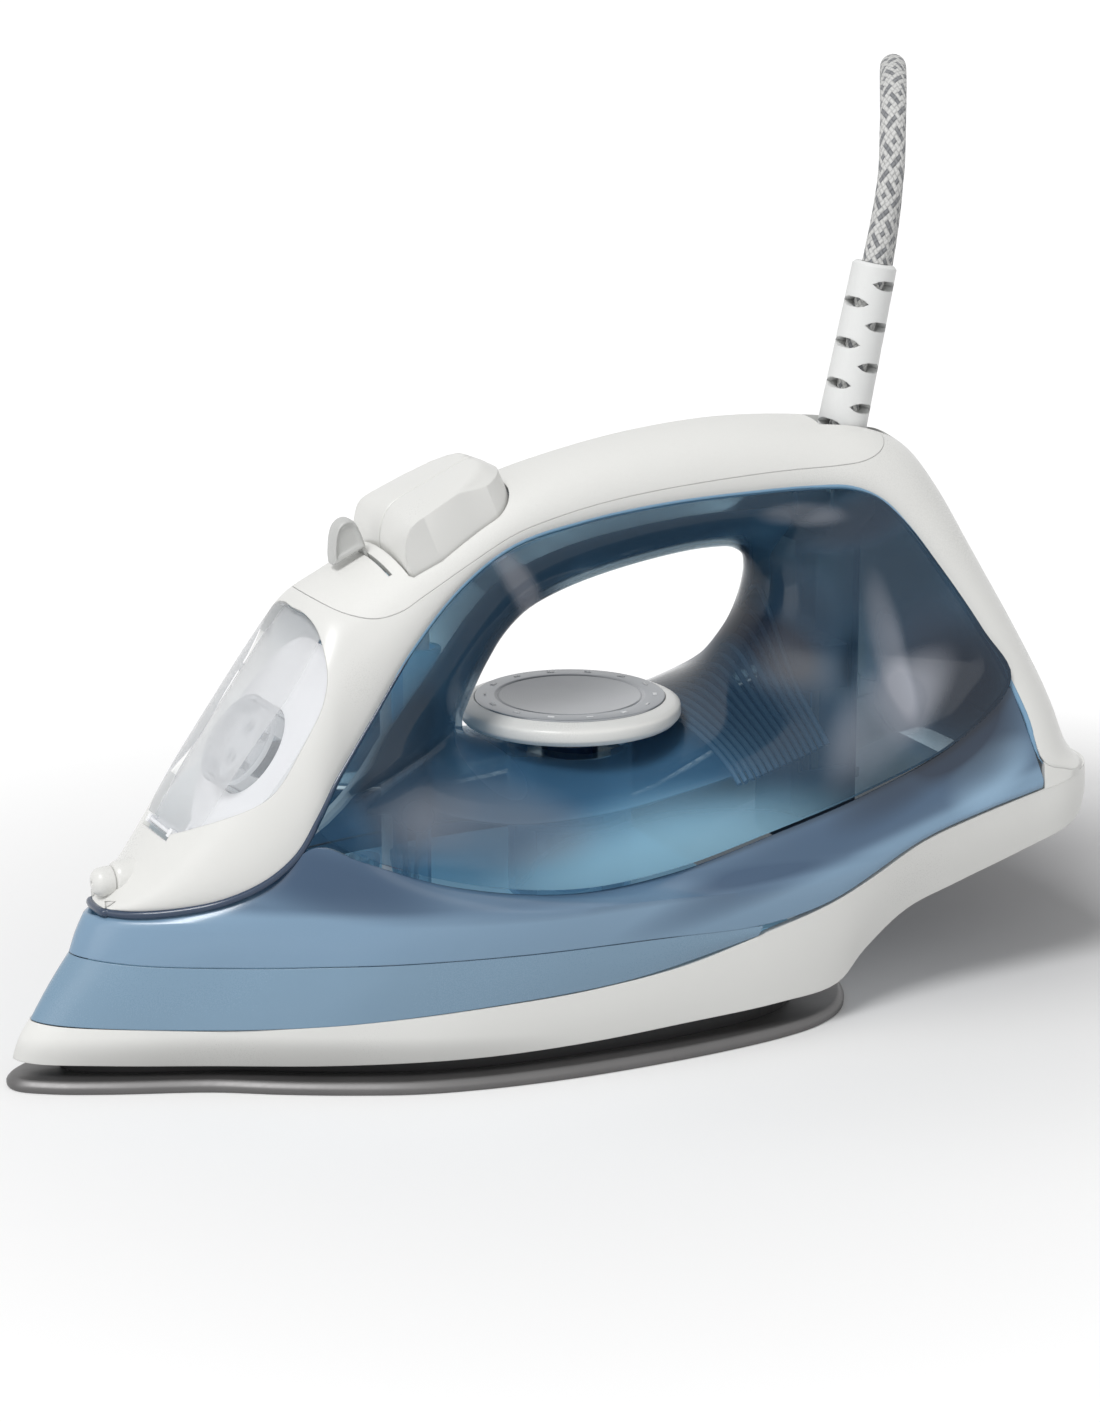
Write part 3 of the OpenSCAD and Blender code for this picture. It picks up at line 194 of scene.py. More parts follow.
# %% Finish helper
class Finish(Nodes):
    def __init__(self, holder, end="ShaderNodeOutputMaterial"):
        if isinstance(holder, str):
            holder = bpy.data.materials.new(holder)
        holder.use_nodes = True
        self.material, self.tree = holder, holder.node_tree
        self.tree.nodes.clear()
        self.out = self.tree.nodes.new(end)

    def level(self, node, output=0):
        return Level(self.tree, node.outputs[output])

    def place(self, scale=(1, 1, 1)):
        spot = self.node("ShaderNodeTexCoord").outputs["Object"]
        return self.node("ShaderNodeMapping", {"Vector": spot, "Scale": scale})

    def axes(self, vector):
        s = self.node("ShaderNodeSeparateXYZ", {0: vector})
        return [self.level(s, i) for i in range(3)]

    def noise(self, size, detail=2.0, vector=None):
        inputs = {"Vector": vector or self.place(), "Scale": 1 / size, "Detail": detail}
        return self.level(self.node("ShaderNodeTexNoise", inputs))

    def blend(self, mask, a, b):
        return self.node("ShaderNodeMix", {0: mask, 6: a, 7: b}, data_type="RGBA").outputs[2]

    def grazing(self, low, high):
        """0 where the surface faces the eye, 1 where it turns away."""
        return self.level(self.node("ShaderNodeLayerWeight", {"Blend": 0.5}), 1).step(low, high)

    def bump(self, height, depth, soft_edge=None):
        inputs = {"Height": height, "Strength": 1.0, "Distance": depth}
        if soft_edge:
            inputs["Normal"] = self.node("ShaderNodeBevel", {"Radius": soft_edge}, samples=4)
        return self.node("ShaderNodeBump", inputs)

    def patch(self, centre, size, lean=0.0):
        """A soft patch in the side view: 1 at its centre, 0 past its size, in millimetres back and up."""
        if not hasattr(self, "side"):
            x, _, z = self.axes(self.place())
            self.side = (TIP - x * 1000.0, z * 1000.0)
        d, z = self.side[0] - centre[0], self.side[1] - centre[1]
        c, s = cos(radians(lean)), sin(radians(lean))
        u = (d * c + z * s) * (1 / size[0])
        w = (z * c - d * s) * (1 / size[1])
        return (1.0 - u * u - w * w).clamp().eased()

    def surface(self, **inputs):
        """The Principled shader; base_color stands for its input Base Color, and so on."""
        named = {key.replace("_", " ").title(): value for key, value in inputs.items()}
        return self.node("ShaderNodeBsdfPrincipled", named)

    def layers(self, colour, *coats):
        """Paints one colour after the other over the first, each by its own mask."""
        for mask, over in coats:
            colour = self.blend(mask, colour, rgb(*over))
        return colour

    def done(self, shader):
        self.feed(self.out.inputs["Surface"], shader)
        return self.material

    def over_clear(self, tint, ior, head_on, own, rim, skin, side=None):
        """See-through plastic: its skin covers its own share, and more towards the rim and the side."""
        through = self.node("ShaderNodeBsdfTransparent", {"Color": tint})
        shine = self.level(self.node("ShaderNodeFresnel", {"IOR": ior}))
        share = (own + (shine - head_on) * rim).clamp()
        if side:
            share = (share + side).clamp()
        return self.done(self.node("ShaderNodeMixShader", {0: share, 1: through, 2: skin}))


def rgb(red, green, blue):
    """A colour as seen on a screen, 0 to 255, turned to the linear numbers that light adds in."""
    def line(c):
        c = c / 255
        return c / 12.92 if c <= 0.04045 else ((c + 0.055) / 1.055) ** 2.4
    return (line(red), line(green), line(blue))


print("white paper in linear light:", [round(c, 3) for c in rgb(240, 240, 238)])

# %% [markdown]
# ## Floor and studio light
# The floor is one big sheet. It takes the sun and the world as a pale matt paper does, and
# a little of its own light, shown to the camera and to mirrors alone, lifts it to white.
# That light never falls on the iron, so the object's colours stay as they are written.
# Near the heel a painted shadow darkens the paper and dims its own light, which gives the shadow there its
# depth.

# %% Floor
def showing(finish):
    """1 for camera, mirror and glass rays, 0 for the light that falls on things."""
    ray = finish.node("ShaderNodeLightPath")
    seen = finish.level(ray, "Is Camera Ray") + finish.level(ray, "Is Glossy Ray")
    return (seen + finish.level(ray, "Is Transmission Ray")).clamp()


def away_from(x, y, near, far):
    """0 close to a spot of the floor, 1 far from it."""
    u, v = (px + x, py + y) if x or y else (px, py)
    return (u * u + v * v).root().step(near, far)


paper = Finish("studio_paper")
px, py, _ = paper.axes(paper.place())
# A painted shadow near the heel: the paper is darker there.
heel_shadow = 1.0 - away_from(0.13, 0.06, 0.02, 0.16)
paper_tone = paper.blend(heel_shadow, (0.78, 0.78, 0.78), (0.40, 0.40, 0.41))
lit = paper.node("ShaderNodeBsdfDiffuse", {"Color": paper_tone})
# Its own light is dimmed near the heel, as part of the same painted shadow.
own_light = showing(paper) * (0.17 + away_from(0, 0, 0.10, 0.42) * 0.23) * away_from(0.14, 0.04, 0.05, 0.24)
glow = paper.node("ShaderNodeEmission", {"Color": (1, 1, 1), "Strength": own_light})
paper.done(paper.node("ShaderNodeAddShader", {0: lit, 1: glow}))

FLOOR_RADIUS, FLOOR_SIDES = 9, 48
sheet = bpy.data.meshes.new("studio_floor")
turns = [2 * pi * k / FLOOR_SIDES for k in range(FLOOR_SIDES)]
corners = [(FLOOR_RADIUS * cos(a), FLOOR_RADIUS * sin(a), 0) for a in turns]
sheet.from_pydata(corners, [], [tuple(range(FLOOR_SIDES))])
sheet.materials.append(paper.material)
add_object("studio_floor", sheet)
print("floor:", 2 * FLOOR_RADIUS, "m across")

# %% Lights
world = bpy.data.worlds.new("studio_world")
scene.world = world
sky = Finish(world, "ShaderNodeOutputWorld")
sky.done(sky.node("ShaderNodeBackground", {"Color": (1, 1, 1), "Strength": 0.44 + 0.56 * showing(sky)}))


def lamp(name, kind, where, facing, **settings):
    light = bpy.data.lights.new(name, kind)
    for key, value in settings.items():
        setattr(light, key, value)
    ob = add_object(name, light)
    ob.location = where
    ob.rotation_euler = Vector(facing).to_track_quat("Z", "Y").to_euler()


def soft_box(name, where, aim, wide, high, power):
    facing = Vector(where) - Vector(aim)
    lamp(name, "AREA", where, facing, shape="RECTANGLE", size=wide, size_y=high, energy=power)


sunward = Vector((0.62, 0.42, 1.0))
lamp("key_sun", "SUN", sunward * 2, sunward, energy=1.75, angle=radians(20))
soft_box("side_box", (0.05, 1.0, 0.75), (0, 0, 0.08), 0.9, 0.35, 0.8)
soft_box("front_box", (0.95, 0.25, 0.35), (0.05, 0, 0.08), 0.3, 0.6, 0.6)

# %% [markdown]
# ## Curves and skins
# The shells of an iron are lofted: a mould maker draws a few guide curves in the side and
# top view and lets a surface run between them. The guide points here are the same as in
# the construction, in millimetres: how far back from the tip, how far out from the middle,
# and how high. The splines are cut finer, so that the skins look smooth.

# %% Curve helpers
def at(points):
    """Guide points as places in the iron's own axes, still in millimetres."""
    p = np.array(points, float)
    return np.stack([TIP - p[:, 0], p[:, 1], p[:, 2]], 1)


def spline(points, cuts, loop=False):
    p = np.array(points, float)
    n = len(p)

    def gap(a, b):
        return sqrt(np.linalg.norm(b - a)) + 0.001

    out = []
    for i in range(n if loop else n - 1):
        b, c = p[i], p[(i + 1) % n]
        a = p[i - 1] if (i > 0 or loop) else 2 * b - c
        d = p[(i + 2) % n] if (i < n - 2 or loop) else 2 * c - b
        t1 = gap(a, b)
        t2 = t1 + gap(b, c)
        t3 = t2 + gap(c, d)
        for k in range(cuts):
            u = t1 + (t2 - t1) * k / cuts
            x = a + (b - a) * (u / t1)
            y = b + (c - b) * ((u - t1) / (t2 - t1))
            z = c + (d - c) * ((u - t2) / (t3 - t2))
            s = x + (y - x) * (u / t2)
            w = y + (z - y) * ((u - t1) / (t3 - t1))
            out.append(s + (w - s) * ((u - t1) / (t2 - t1)))
    if not loop:
        out.append(p[-1])
    return np.array(out)


def unit(v):
    return v / np.maximum(np.linalg.norm(v, axis=-1, keepdims=True), 1e-9)


def bezier(a, b, c, d, t):
    return a * (1 - t) ** 3 + b * 3 * t * (1 - t) ** 2 + c * 3 * t * t * (1 - t) + d * t ** 3


def slope(g, loop=False, axis=0):
    """The step from the point before to the point after, along one axis of a row or a grid."""
    widths = [(0, 0)] * g.ndim
    widths[axis] = (1, 1)
    p = np.moveaxis(np.pad(g, widths, mode="wrap" if loop else "edge"), axis, 0)
    return np.moveaxis(p[2:] - p[:-2], 0, axis)


MIRROR = np.array([1.0, -1.0, 1.0])
trial = [(0, 0, 0), (1, 0, 0), (2, 1, 0), (3, 3, 0)]
print("a spline of 4 points cut in 3:", len(spline(trial, 3)), "points")

# %% [markdown]
# ## From mesh to piece
# Every piece ends in the same way: smooth faces with sharp creases, one finish, the body
# that it moves with, and the nodes of the construction that it stands for, which are hidden.

# %% Mesh helpers
def add_mesh(name, verts, faces=(), edges=(), scale=MM):
    me = bpy.data.meshes.new(name)
    me.from_pydata([tuple(scale * c for c in v) for v in verts], edges, [tuple(f) for f in faces])
    me.update()
    return add_object(name, me)


def settle(ob, finish, body, slot, stands_for=(), angle=34):
    """Gives a finished piece its material and its body, and hides the nodes that it stands for."""
    me = ob.data
    me.polygons.foreach_set("use_smooth", [True] * len(me.polygons))
    me.set_sharp_from_angle(angle=radians(angle))
    me.materials.clear()
    me.materials.append(finish)
    me.polygons.foreach_set("material_index", [0] * len(me.polygons))
    me.update()
    if body:
        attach(ob, body)
    if stands_for:
        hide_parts(*stands_for)
    print(f"{ob.name}: {len(me.polygons)} faces on {body}")
    return ob


print("a piece has a finish, a body and a slot, all given by", settle.__name__)

# %% [markdown]
# ## Meshes from rows of points
# Pieces start as rows of points: a wall from a grid, a stack from closed rings, a turned
# part from a profile. All are joined in one way, by four-sided faces between the rows.

# %% Walls, stacks and turned parts
def quads(*corners):
    return np.stack([c.ravel() for c in corners], 1).tolist()


def wall(name, g, thick, loop=False):
    """A grid of points as a closed wall: the grid is its outer face, and the inner one follows it."""
    g = np.array(g, float)
    n, m = g.shape[:2]
    half = n * m
    inner = g - thick * unit(np.cross(slope(g, loop), slope(g, axis=1)))
    grid = np.arange(half).reshape(n, m)
    rows = np.concatenate([grid, grid[:1]]) if loop else grid
    a, b, c, d = rows[:-1, :-1], rows[1:, :-1], rows[1:, 1:], rows[:-1, 1:]
    faces = quads(a, b, c, d) + quads(a + half, d + half, c + half, b + half)
    first, last = rows[:, 0], rows[:, -1]
    faces += quads(first[:-1], first[:-1] + half, first[1:] + half, first[1:])
    faces += quads(last[:-1], last[1:], last[1:] + half, last[:-1] + half)
    if not loop:
        foot, head = grid[0], grid[-1]
        faces += quads(foot[:-1], foot[1:], foot[1:] + half, foot[:-1] + half)
        faces += quads(head[:-1], head[:-1] + half, head[1:] + half, head[1:])
    return add_mesh(name, np.concatenate([g.reshape(-1, 3), inner.reshape(-1, 3)]), faces)


def solid(name, verts, faces, place=None):
    """A mesh whose doubled points are joined and whose faces all look outward."""
    if place is not None:
        verts = [place @ Vector(v) for v in verts]
    return turned_outward(add_mesh(name, verts, faces))


def turned_outward(ob):
    bm = bmesh.new()
    bm.from_mesh(ob.data)
    bmesh.ops.remove_doubles(bm, verts=bm.verts, dist=1e-6)
    bmesh.ops.recalc_face_normals(bm, faces=bm.faces)
    bm.to_mesh(ob.data)
    bm.free()
    return ob


def ladder(rows, across, loop=True):
    """Four-sided faces between rows of points that are stored one after the other."""
    sides = [(k, (k + 1) % across) for k in range(across if loop else across - 1)]
    return [(low + a, low + b, low + across + b, low + across + a)
            for low in range(0, (rows - 1) * across, across) for a, b in sides]


def stack(name, rings, place=None):
    """A solid from closed rings laid one on the other, with a flat face at both ends."""
    n, last = len(rings[0]), len(rings) - 1
    faces = ladder(len(rings), n) + [range(n), range(last * n, last * n + n)]
    return solid(name, [p for ring in rings for p in ring], faces, place)


def lathe(name, profile, steps=128, place=None):
    """Turns a closed profile of (radius, height) round Z. Points on the axis become one."""
    verts, rows = [], []
    for r, z in profile:
        if r < 1e-6:
            rows.append([len(verts)])
            verts.append((0, 0, z))
        else:
            rows.append(list(range(len(verts), len(verts) + steps)))
            verts += [(r * cos(2 * pi * k / steps), r * sin(2 * pi * k / steps), z) for k in range(steps)]
    faces = []
    for a, b in zip(rows, rows[1:] + rows[:1]):
        if len(a) == 1 and len(b) == 1:
            continue
        for k in range(steps):
            l = (k + 1) % steps
            if len(a) == 1:
                faces.append((a[0], b[l], b[k]))
            elif len(b) == 1:
                faces.append((a[k], a[l], b[0]))
            else:
                faces.append((a[k], a[l], b[l], b[k]))
    return solid(name, verts, faces, place)


print("two square rings make", len(ladder(2, 4)), "sides")

# %% [markdown]
# ## Cutting tools
# Holes and parting lines are cut with columns: flat outlines, pushed up from low to high.
# The exact solver of the Boolean modifier keeps the cut edges clean.

# %% Cutting tools
def column(name, outline, low, high, place=None):
    """A flat outline pushed up from low to high. Most are used to cut, and are then thrown away."""
    return stack(name, [[(x, y, z) for x, y in outline] for z in (low, high)], place)


def disc(radius, x=0.0, sides=48):
    """The outline of a round column."""
    turns = [2 * pi * k / sides for k in range(sides)]
    return [(radius * cos(a) + x, radius * sin(a)) for a in turns]


def cut(ob, tool, how="DIFFERENCE"):
    m = ob.modifiers.new("cut", "BOOLEAN")
    m.object, m.operation, m.solver = tool, how, "EXACT"
    bpy.context.view_layer.update()
    made = bpy.data.meshes.new_from_object(ob.evaluated_get(bpy.context.evaluated_depsgraph_get()))
    ob.modifiers.clear()
    ob.data = made
    bpy.data.objects.remove(tool)
    return ob


def twin(ob, name):
    return add_object(name, ob.data.copy())


print("a round tool has", len(disc(1)), "sides")

# %% [markdown]
# ## The mains cord
# An iron's lead is a round flex in a woven cotton sleeve. It comes out of the top of the
# swivelling guard, bends over under its own weight, falls behind the heel and is wound on
# the table behind the iron, where the iron hides the coil. The sleeve could be displaced
# strands, but at seven millimetres a woven pattern in the material shows as much.
# The path is one spline: the fall behind the heel, six rings of coil and the tail to the plug.

# %% Cord path
LEAN = radians(12)
guard_foot = np.array([TIP - 237, 0, 138.0])
guard_axis = np.array([-sin(LEAN), 0, cos(LEAN)])
GUARD_LENGTH, CORD_RADIUS = 55, 3.5
cord_exit = guard_foot + GUARD_LENGTH * guard_axis
fall = [(-105.8, -1, 215), (-108.4, -5, 226), (-113.4, -13.4, 235.4), (-120.4, -25.4, 239.6),
        (-128, -38.4, 237), (-134.6, -49, 228), (-138.6, -55, 215), (-139.8, -57.6, 200),
        (-138.4, -59, 182), (-135.4, -60.6, 162), (-131.6, -62.6, 140), (-128, -64.6, 116),
        (-125.4, -66.2, 90), (-124.2, -67, 64), (-124, -67, 40), (-121.3, -67, 26), (-113.6, -67, 14.2),
        (-102, -67, 6.4), (-88, -67, 3.9)]
coil_mid = np.array([-84.0, -119.8, 0.9])
LOW, HIGH = 4.45, 11.55
OUTER, MIDDLE, INNER = 45.5, 38.5, 31.5


def turn_point(angle, radius, height):
    return (coil_mid[0] + radius * cos(radians(angle)), coil_mid[1] + radius * sin(radians(angle)), height)


def level_turn(a0, a1, radius, height):
    n = max(1, round((a0 - a1) / 24))
    return [(a0 - (a0 - a1) * k / n, radius, height) for k in range(n)]


def shift(a0, a1, r0, r1, h0, h1, n=6):
    """A stretch of the coil that moves to the next ring or layer, easing in and out."""
    ease = [(1 - cos(pi * k / n)) / 2 for k in range(n)]
    return [(a0 - (a0 - a1) * k / n, r0 + (r1 - r0) * e, h0 + (h1 - h0) * e) for k, e in enumerate(ease)]


winding, angle, radius, height = [], 90, 52.8, 3.9
for eased, end, next_radius, next_height in (
        (-10, -230, OUTER, LOW), (-345, -590, MIDDLE, LOW), (-705, -934, INNER, LOW),
        (-1018, -1248, INNER, HIGH), (-1363, -1608, MIDDLE, HIGH), (-1723, -1968, OUTER, HIGH)):
    winding += shift(angle, eased, radius, next_radius, height, next_height)
    winding += level_turn(eased, end, next_radius, next_height)
    angle, radius, height = end, next_radius, next_height
coil = [turn_point(*p) for p in winding]
tail = [turn_point(192, 45.5, HIGH), turn_point(170, 46.2, HIGH), turn_point(150, 47.6, HIGH),
        turn_point(130, 49.4, 11.8), turn_point(112, 51.2, 12.2), (-91, -67.6, 12), (-80, -67, 11.4),
        (-68, -68.6, 11.4), (-57, -72.4, 11.6), (-47, -75.4, 12), (-36.15, -76, 12)]
route = [tuple(cord_exit + 0.1 * guard_axis), tuple(cord_exit + 12 * guard_axis)] + fall + coil + tail
line = spline(route, 4)
steps = np.linalg.norm(np.diff(line, axis=0), axis=1)
line = line[np.concatenate([[True], steps > 0.3])]
cord_length = float(np.linalg.norm(np.diff(line, axis=0), axis=1).sum()) * MM
print("cord:", len(line), "points,", round(cord_length, 3), "m")

# %% [markdown]
# ## A tube with a UV map
# The cord is a tube swept along that path. Its UV map runs once round it and along it, so
# that a pattern in the material can follow the cord through every bend.

# %% Tube along a path
def tube(name, path, radius, sides=20):
    """A closed round tube. Its UV map runs once round it in U, and in V by the length over its girth."""
    path = np.array(path, float)
    t = unit(np.gradient(path, axis=0))
    side = unit(np.cross(t[0], [0.0, 1.0, 0.05]))
    verts, along = [], np.concatenate([[0], np.cumsum(np.linalg.norm(np.diff(path, axis=0), axis=1))])
    radii = np.broadcast_to(radius, len(path))
    for p, d, r in zip(path, t, radii):
        side = unit(side - d * np.dot(side, d))
        up = np.cross(d, side)
        verts += [p + r * (cos(a) * side + sin(a) * up) for a in (2 * pi * k / sides for k in range(sides))]
    n, uvs = len(path), []
    girth = 2 * pi * float(np.mean(radii))
    faces = ladder(n, sides) + [range(sides)[::-1], range((n - 1) * sides, n * sides)]
    for v0, v1 in zip(along / girth, along[1:] / girth):
        for k in range(sides):
            uvs += [(k / sides, v0), ((k + 1) / sides, v0), ((k + 1) / sides, v1), (k / sides, v1)]
    uvs += [(0.5, 0.0)] * (2 * sides)
    ob = add_mesh(name, verts, faces)
    layer = ob.data.uv_layers.new(name="along")
    layer.data.foreach_set("uv", [c for uv in uvs for c in uv])
    return ob


cord_piece = tube("mains_cord", line, CORD_RADIUS)
print("cord surface:", len(cord_piece.data.polygons), "faces")

# %% [markdown]
# ## Woven sleeve
# The sleeve is a twill of grey and white yarns. Two families of slanted stripes cross on
# the UV map; where one family passes over, it hides the other. The stripes give both the
# colour and the height, so that light catches each yarn, and the low edges of each yarn
# get a painted shade, darker between the yarns.

# %% Braid finish
def braid(name, light, dark, strands):
    f = Finish(name)
    u, v, _ = f.axes(f.node("ShaderNodeUVMap", uv_map="along"))
    right = (u + v * 0.8) * strands
    left = (u - v * 0.8) * strands
    yarn_a = (right.rest(1.0) - 0.5).size() * 2.0
    yarn_b = (left.rest(1.0) - 0.5).size() * 2.0
    over = (right.floor() + left.floor()).rest(2.0) > 0.5
    height = over * (1.0 - yarn_a * yarn_a) + (1.0 - over) * (1.0 - yarn_b * yarn_b)
    tone = (left.floor().rest(3.0) > 1.5) * (1.0 - over) + (right.floor().rest(4.0) > 2.5) * over
    speck = f.noise(0.0012, 2.0)
    # (1 - height) is a painted shade: each yarn is darker at its low edges, between the yarns.
    colour = f.blend((tone * 0.85 + (speck - 0.5) * 0.35 + (1.0 - height) * 0.35).clamp(), light, dark)
    skin = f.surface(base_color=colour, roughness=0.86, sheen_weight=0.25,
                     normal=f.bump(height + speck * 0.25, 0.00025))
    return f.done(skin)


cotton = braid("cotton_sleeve", rgb(214, 214, 212), rgb(120, 122, 126), strands=14)
settle(cord_piece, cotton, None, "cord_braid", ("cord_run", "cord_coil", "cord_tail"), 60)
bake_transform(cord_piece)
[tuple(float(c) * MM for c in p) for p in line]

# %% [markdown]
# ## White moulded plastic
# The shells are glossy ABS with a fine spark-eroded grain on the grip. A flat white looks
# like paper, so the white drifts a little over a hand's width, the gloss drifts with it, and
# a grain a third of a millimetre wide breaks the highlights. A Bevel node rounds the look of
# cut edges by a few tenths, as a mould does, without any more faces.
# The blue bands deepen where they turn away from the eye, as milky plastic does. On the
# belt, soft patches make the blue darker towards the heel and behind the crease, and add
# painted shade along its side and a painted highlight near the heel. Inside the nose a
# little light is added, a painted glow for the light that a clear tank lets through to the
# white wall behind it, and a painted shade darkens the white base low along its front.

# %% Plastic finishes
EDGE = 0.0004


def darker(colour, share):
    return tuple(c * share for c in colour)


def moulded(name, colour, rough, grain=0.3, depth=0.00002, coat=0.0, turned=None, nose_light=0.0):
    f = Finish(name)
    wide, fine = f.noise(0.045), f.noise(grain * MM, 3.0)
    tint = f.blend((wide * 0.7 + fine * 0.3).clamp(), darker(colour, 1 - 0.06), colour)
    extra = {}
    if turned:
        tint = f.blend(f.grazing(0.72, 0.98) * 0.7, tint, turned)
    if nose_light:
        _, across, _ = f.axes(f.node("ShaderNodeNewGeometry").outputs["Normal"])
        _, y, _ = f.axes(f.place())
        # A painted glow on the inner faces of the nose, for the light that the clear tank lets through.
        inward = (across * y * -1.0).step(0.0, 0.003) * f.patch((66, 82), (40, 40))
        # A painted shade on the white base, low along its front.
        tint = f.blend(f.patch((60, 8.5), (80, 7.5)) * 0.8, tint, darker(colour, 0.62))
        extra = {"emission_color": tint, "emission_strength": inward * nose_light}
    roughness = (rough + (wide - 0.5) * 0.14 + (fine - 0.5) * 0.08).clamp()
    return f.done(f.surface(base_color=tint, roughness=roughness, coat_weight=coat,
                            coat_roughness=0.12, normal=f.bump(fine, depth, EDGE), **extra))


def shaded_belt():
    """The belt's blue gets darker towards the heel and behind the crease, with painted shade along its side
    and a painted highlight near the heel.
    """
    f = Finish("belt_blue")
    wide, fine = f.noise(0.045), f.noise(0.0003, 3.0)
    deep = (f.patch((252, 78), (24, 22), 20) + f.patch((236, 66), (34, 9), 25) * 0.8).clamp()
    # shade: painted shade in soft bands along the belt's side.
    shade = (f.patch((208, 51), (72, 8), 14) * 0.8 + f.patch((150, 45.5), (80, 3), 0) * 0.4).clamp()
    # A painted highlight near the heel.
    heel_highlight = f.patch((258, 62), (17, 9), 25)
    d, z = f.side
    crease = 44.8 + (d - 212.0).at_least(0.0) * 0.25
    shelf = (z - crease).step(0.2, 3.2) * 0.6 + f.patch((72, 56), (34, 11), -14) * 0.4
    colour = f.blend((wide * 0.7 + fine * 0.3).clamp(), rgb(116, 146, 172), rgb(127, 156, 181))
    colour = f.layers(colour, (shelf.clamp(), (52, 78, 106)), (heel_highlight * 0.85, (150, 182, 208)),
                      (shade, (58, 84, 112)), (deep * 0.95, (26, 42, 62)),
                      (f.grazing(0.72, 0.98) * 0.75, (30, 50, 76)))
    return f.done(f.surface(base_color=colour, roughness=(0.22 + (wide - 0.5) * 0.1).clamp(),
                            coat_weight=0.15, coat_roughness=0.12,
                            normal=f.bump(fine, 0.000012, EDGE)))


white = moulded("white_shell", rgb(229, 229, 226), 0.30, nose_light=0.8)
grip_white = moulded("white_grip", rgb(232, 232, 229), 0.46, 0.55, 0.00006)
pale_grey = moulded("pale_grey_key", rgb(196, 197, 195), 0.36, 0.3)
belt_blue = shaded_belt()
skirt_blue = moulded("skirt_blue", rgb(121, 150, 173), 0.26, 0.3, 0.000012, 0.15, turned=rgb(40, 62, 90))
print("plastics:", [m.name for m in (white, grip_white, pale_grey, belt_blue, skirt_blue)])

# %% [markdown]
# ## White base
# The base carries the blue tank and hides the heater. Its wall is lofted between a lower
# and an upper guide curve, with a slight belly, so that light rolls over it.

# %% Base
base_low = [(1.7, 0, 7.7), (5, 5, 7.4), (22, 14, 7), (46, 24.5, 6.6), (70, 37.5, 7), (92, 47.8, 7.8),
            (112, 52.3, 7.8), (137, 54.8, 8.2), (164, 56, 9.4), (192, 55.2, 10.2), (211, 52, 11.5),
            (221, 49, 18.5), (234, 48, 27.3), (250, 47.8, 32.5), (270, 47.8, 38.5), (285, 47.3, 43.5),
            (293, 41, 46.8), (294.3, 25, 47.3), (294.5, 0, 47.3)]
base_high = [(6.6, 0, 17.2), (10.5, 6, 16.9), (27.5, 17.5, 16.8), (47, 27.2, 16.6), (70, 40.4, 18.4),
             (92, 49.3, 20.2), (111, 53.8, 21.6), (137, 56.2, 22.8), (163.7, 56.8, 25.4), (185, 56, 29.8),
             (207, 54.6, 34.8), (221, 53.6, 40), (236, 52.3, 46.8), (252, 51.4, 51), (270, 50.4, 54.8),
             (284, 49, 57.6), (292.8, 42, 59.4), (294.6, 26, 60), (295, 0, 60)]


def both_sides(points, cuts, loop=False):
    """A guide curve of the left side, run on through its mirror image, as a line or as a ring."""
    half = at(points)
    return spline(np.concatenate([half[:0:-1] * MIRROR, half[:-1] if loop else half]), cuts, loop)


def band(a, b, steps, belly, loop=False):
    """Rows across a band between two curves; the band stands out by its belly half way up."""
    out = unit(np.cross(slope(a, loop), b - a))
    rows = [a + (b - a) * k / steps + belly * sin(pi * k / steps) * out for k in range(steps + 1)]
    return np.stack(rows, 1)


base_band = band(both_sides(base_low, 6, True), both_sides(base_high, 6, True), 8, 0.55, True)
base = wall("white_base", base_band, 2.2, loop=True)
settle(base, white, "iron", "white_plastic", ("base_shell",))

# %% [markdown]
# ## Blue skirt and belt
# Two milky blue mouldings meet at a thin dark seam that runs the length of the iron. The
# belt turns in over a crease into a shelf, on which the clear tank stands.

# %% Skirt and belt
belt_low = [(17.6, 0, 33.4), (20, 5, 33.1), (30, 14, 32.5), (53.5, 27.5, 32.4), (68, 36.4, 33.2),
            (87.5, 47, 34.2), (119, 54.8, 34.4), (154, 57, 33.9), (186, 56.2, 32.6), (207, 54.8, 35.6),
            (236, 52.5, 47.6), (256, 51.4, 52.6), (274, 50.5, 56.1)]
belt_crease = [(21.6, 0, 42.6), (23.5, 4.5, 42.6), (36, 15.5, 43), (59.5, 30, 43.2), (73.5, 38, 44.2),
               (92, 48, 45.4), (122, 55.6, 45.3), (154, 56.9, 44.2), (184, 56.2, 42.4), (209, 54.6, 42.4),
               (236, 52.4, 50.2), (256, 51.3, 54.8), (274.4, 50.2, 58.7)]
shelf_in = [(23.8, 0, 42.9), (26, 3.2, 43.1), (42, 15, 45.6), (61.5, 26.4, 53.6), (71.8, 32, 62.8),
            (81.5, 39.1, 59.7), (102, 46.6, 52.6), (134, 49.4, 46.8), (163, 49.2, 48), (191, 48.6, 53.6),
            (222, 47.4, 61), (250, 45.6, 71), (267.6, 43.2, 83.4)]
skirt_low = [(6.8, 0, 17.2), (9, 4, 17), (18, 11.6, 16.9), (40, 23.6, 16.7), (59, 34.4, 17.5), (78, 44, 19),
             (112, 53.9, 21.8), (148, 56.6, 23.9), (184.5, 56.1, 29.7)]
SEAM = 0.12
up = np.array([0, 0, SEAM])
skirt_band = band(both_sides(skirt_low, 8) + up, both_sides(belt_low[:9], 8) - up, 6, 0.3)
skirt = wall("blue_skirt", skirt_band, 1.8)
settle(skirt, skirt_blue, "iron", "blue_plastic", ("lower_skirt",))

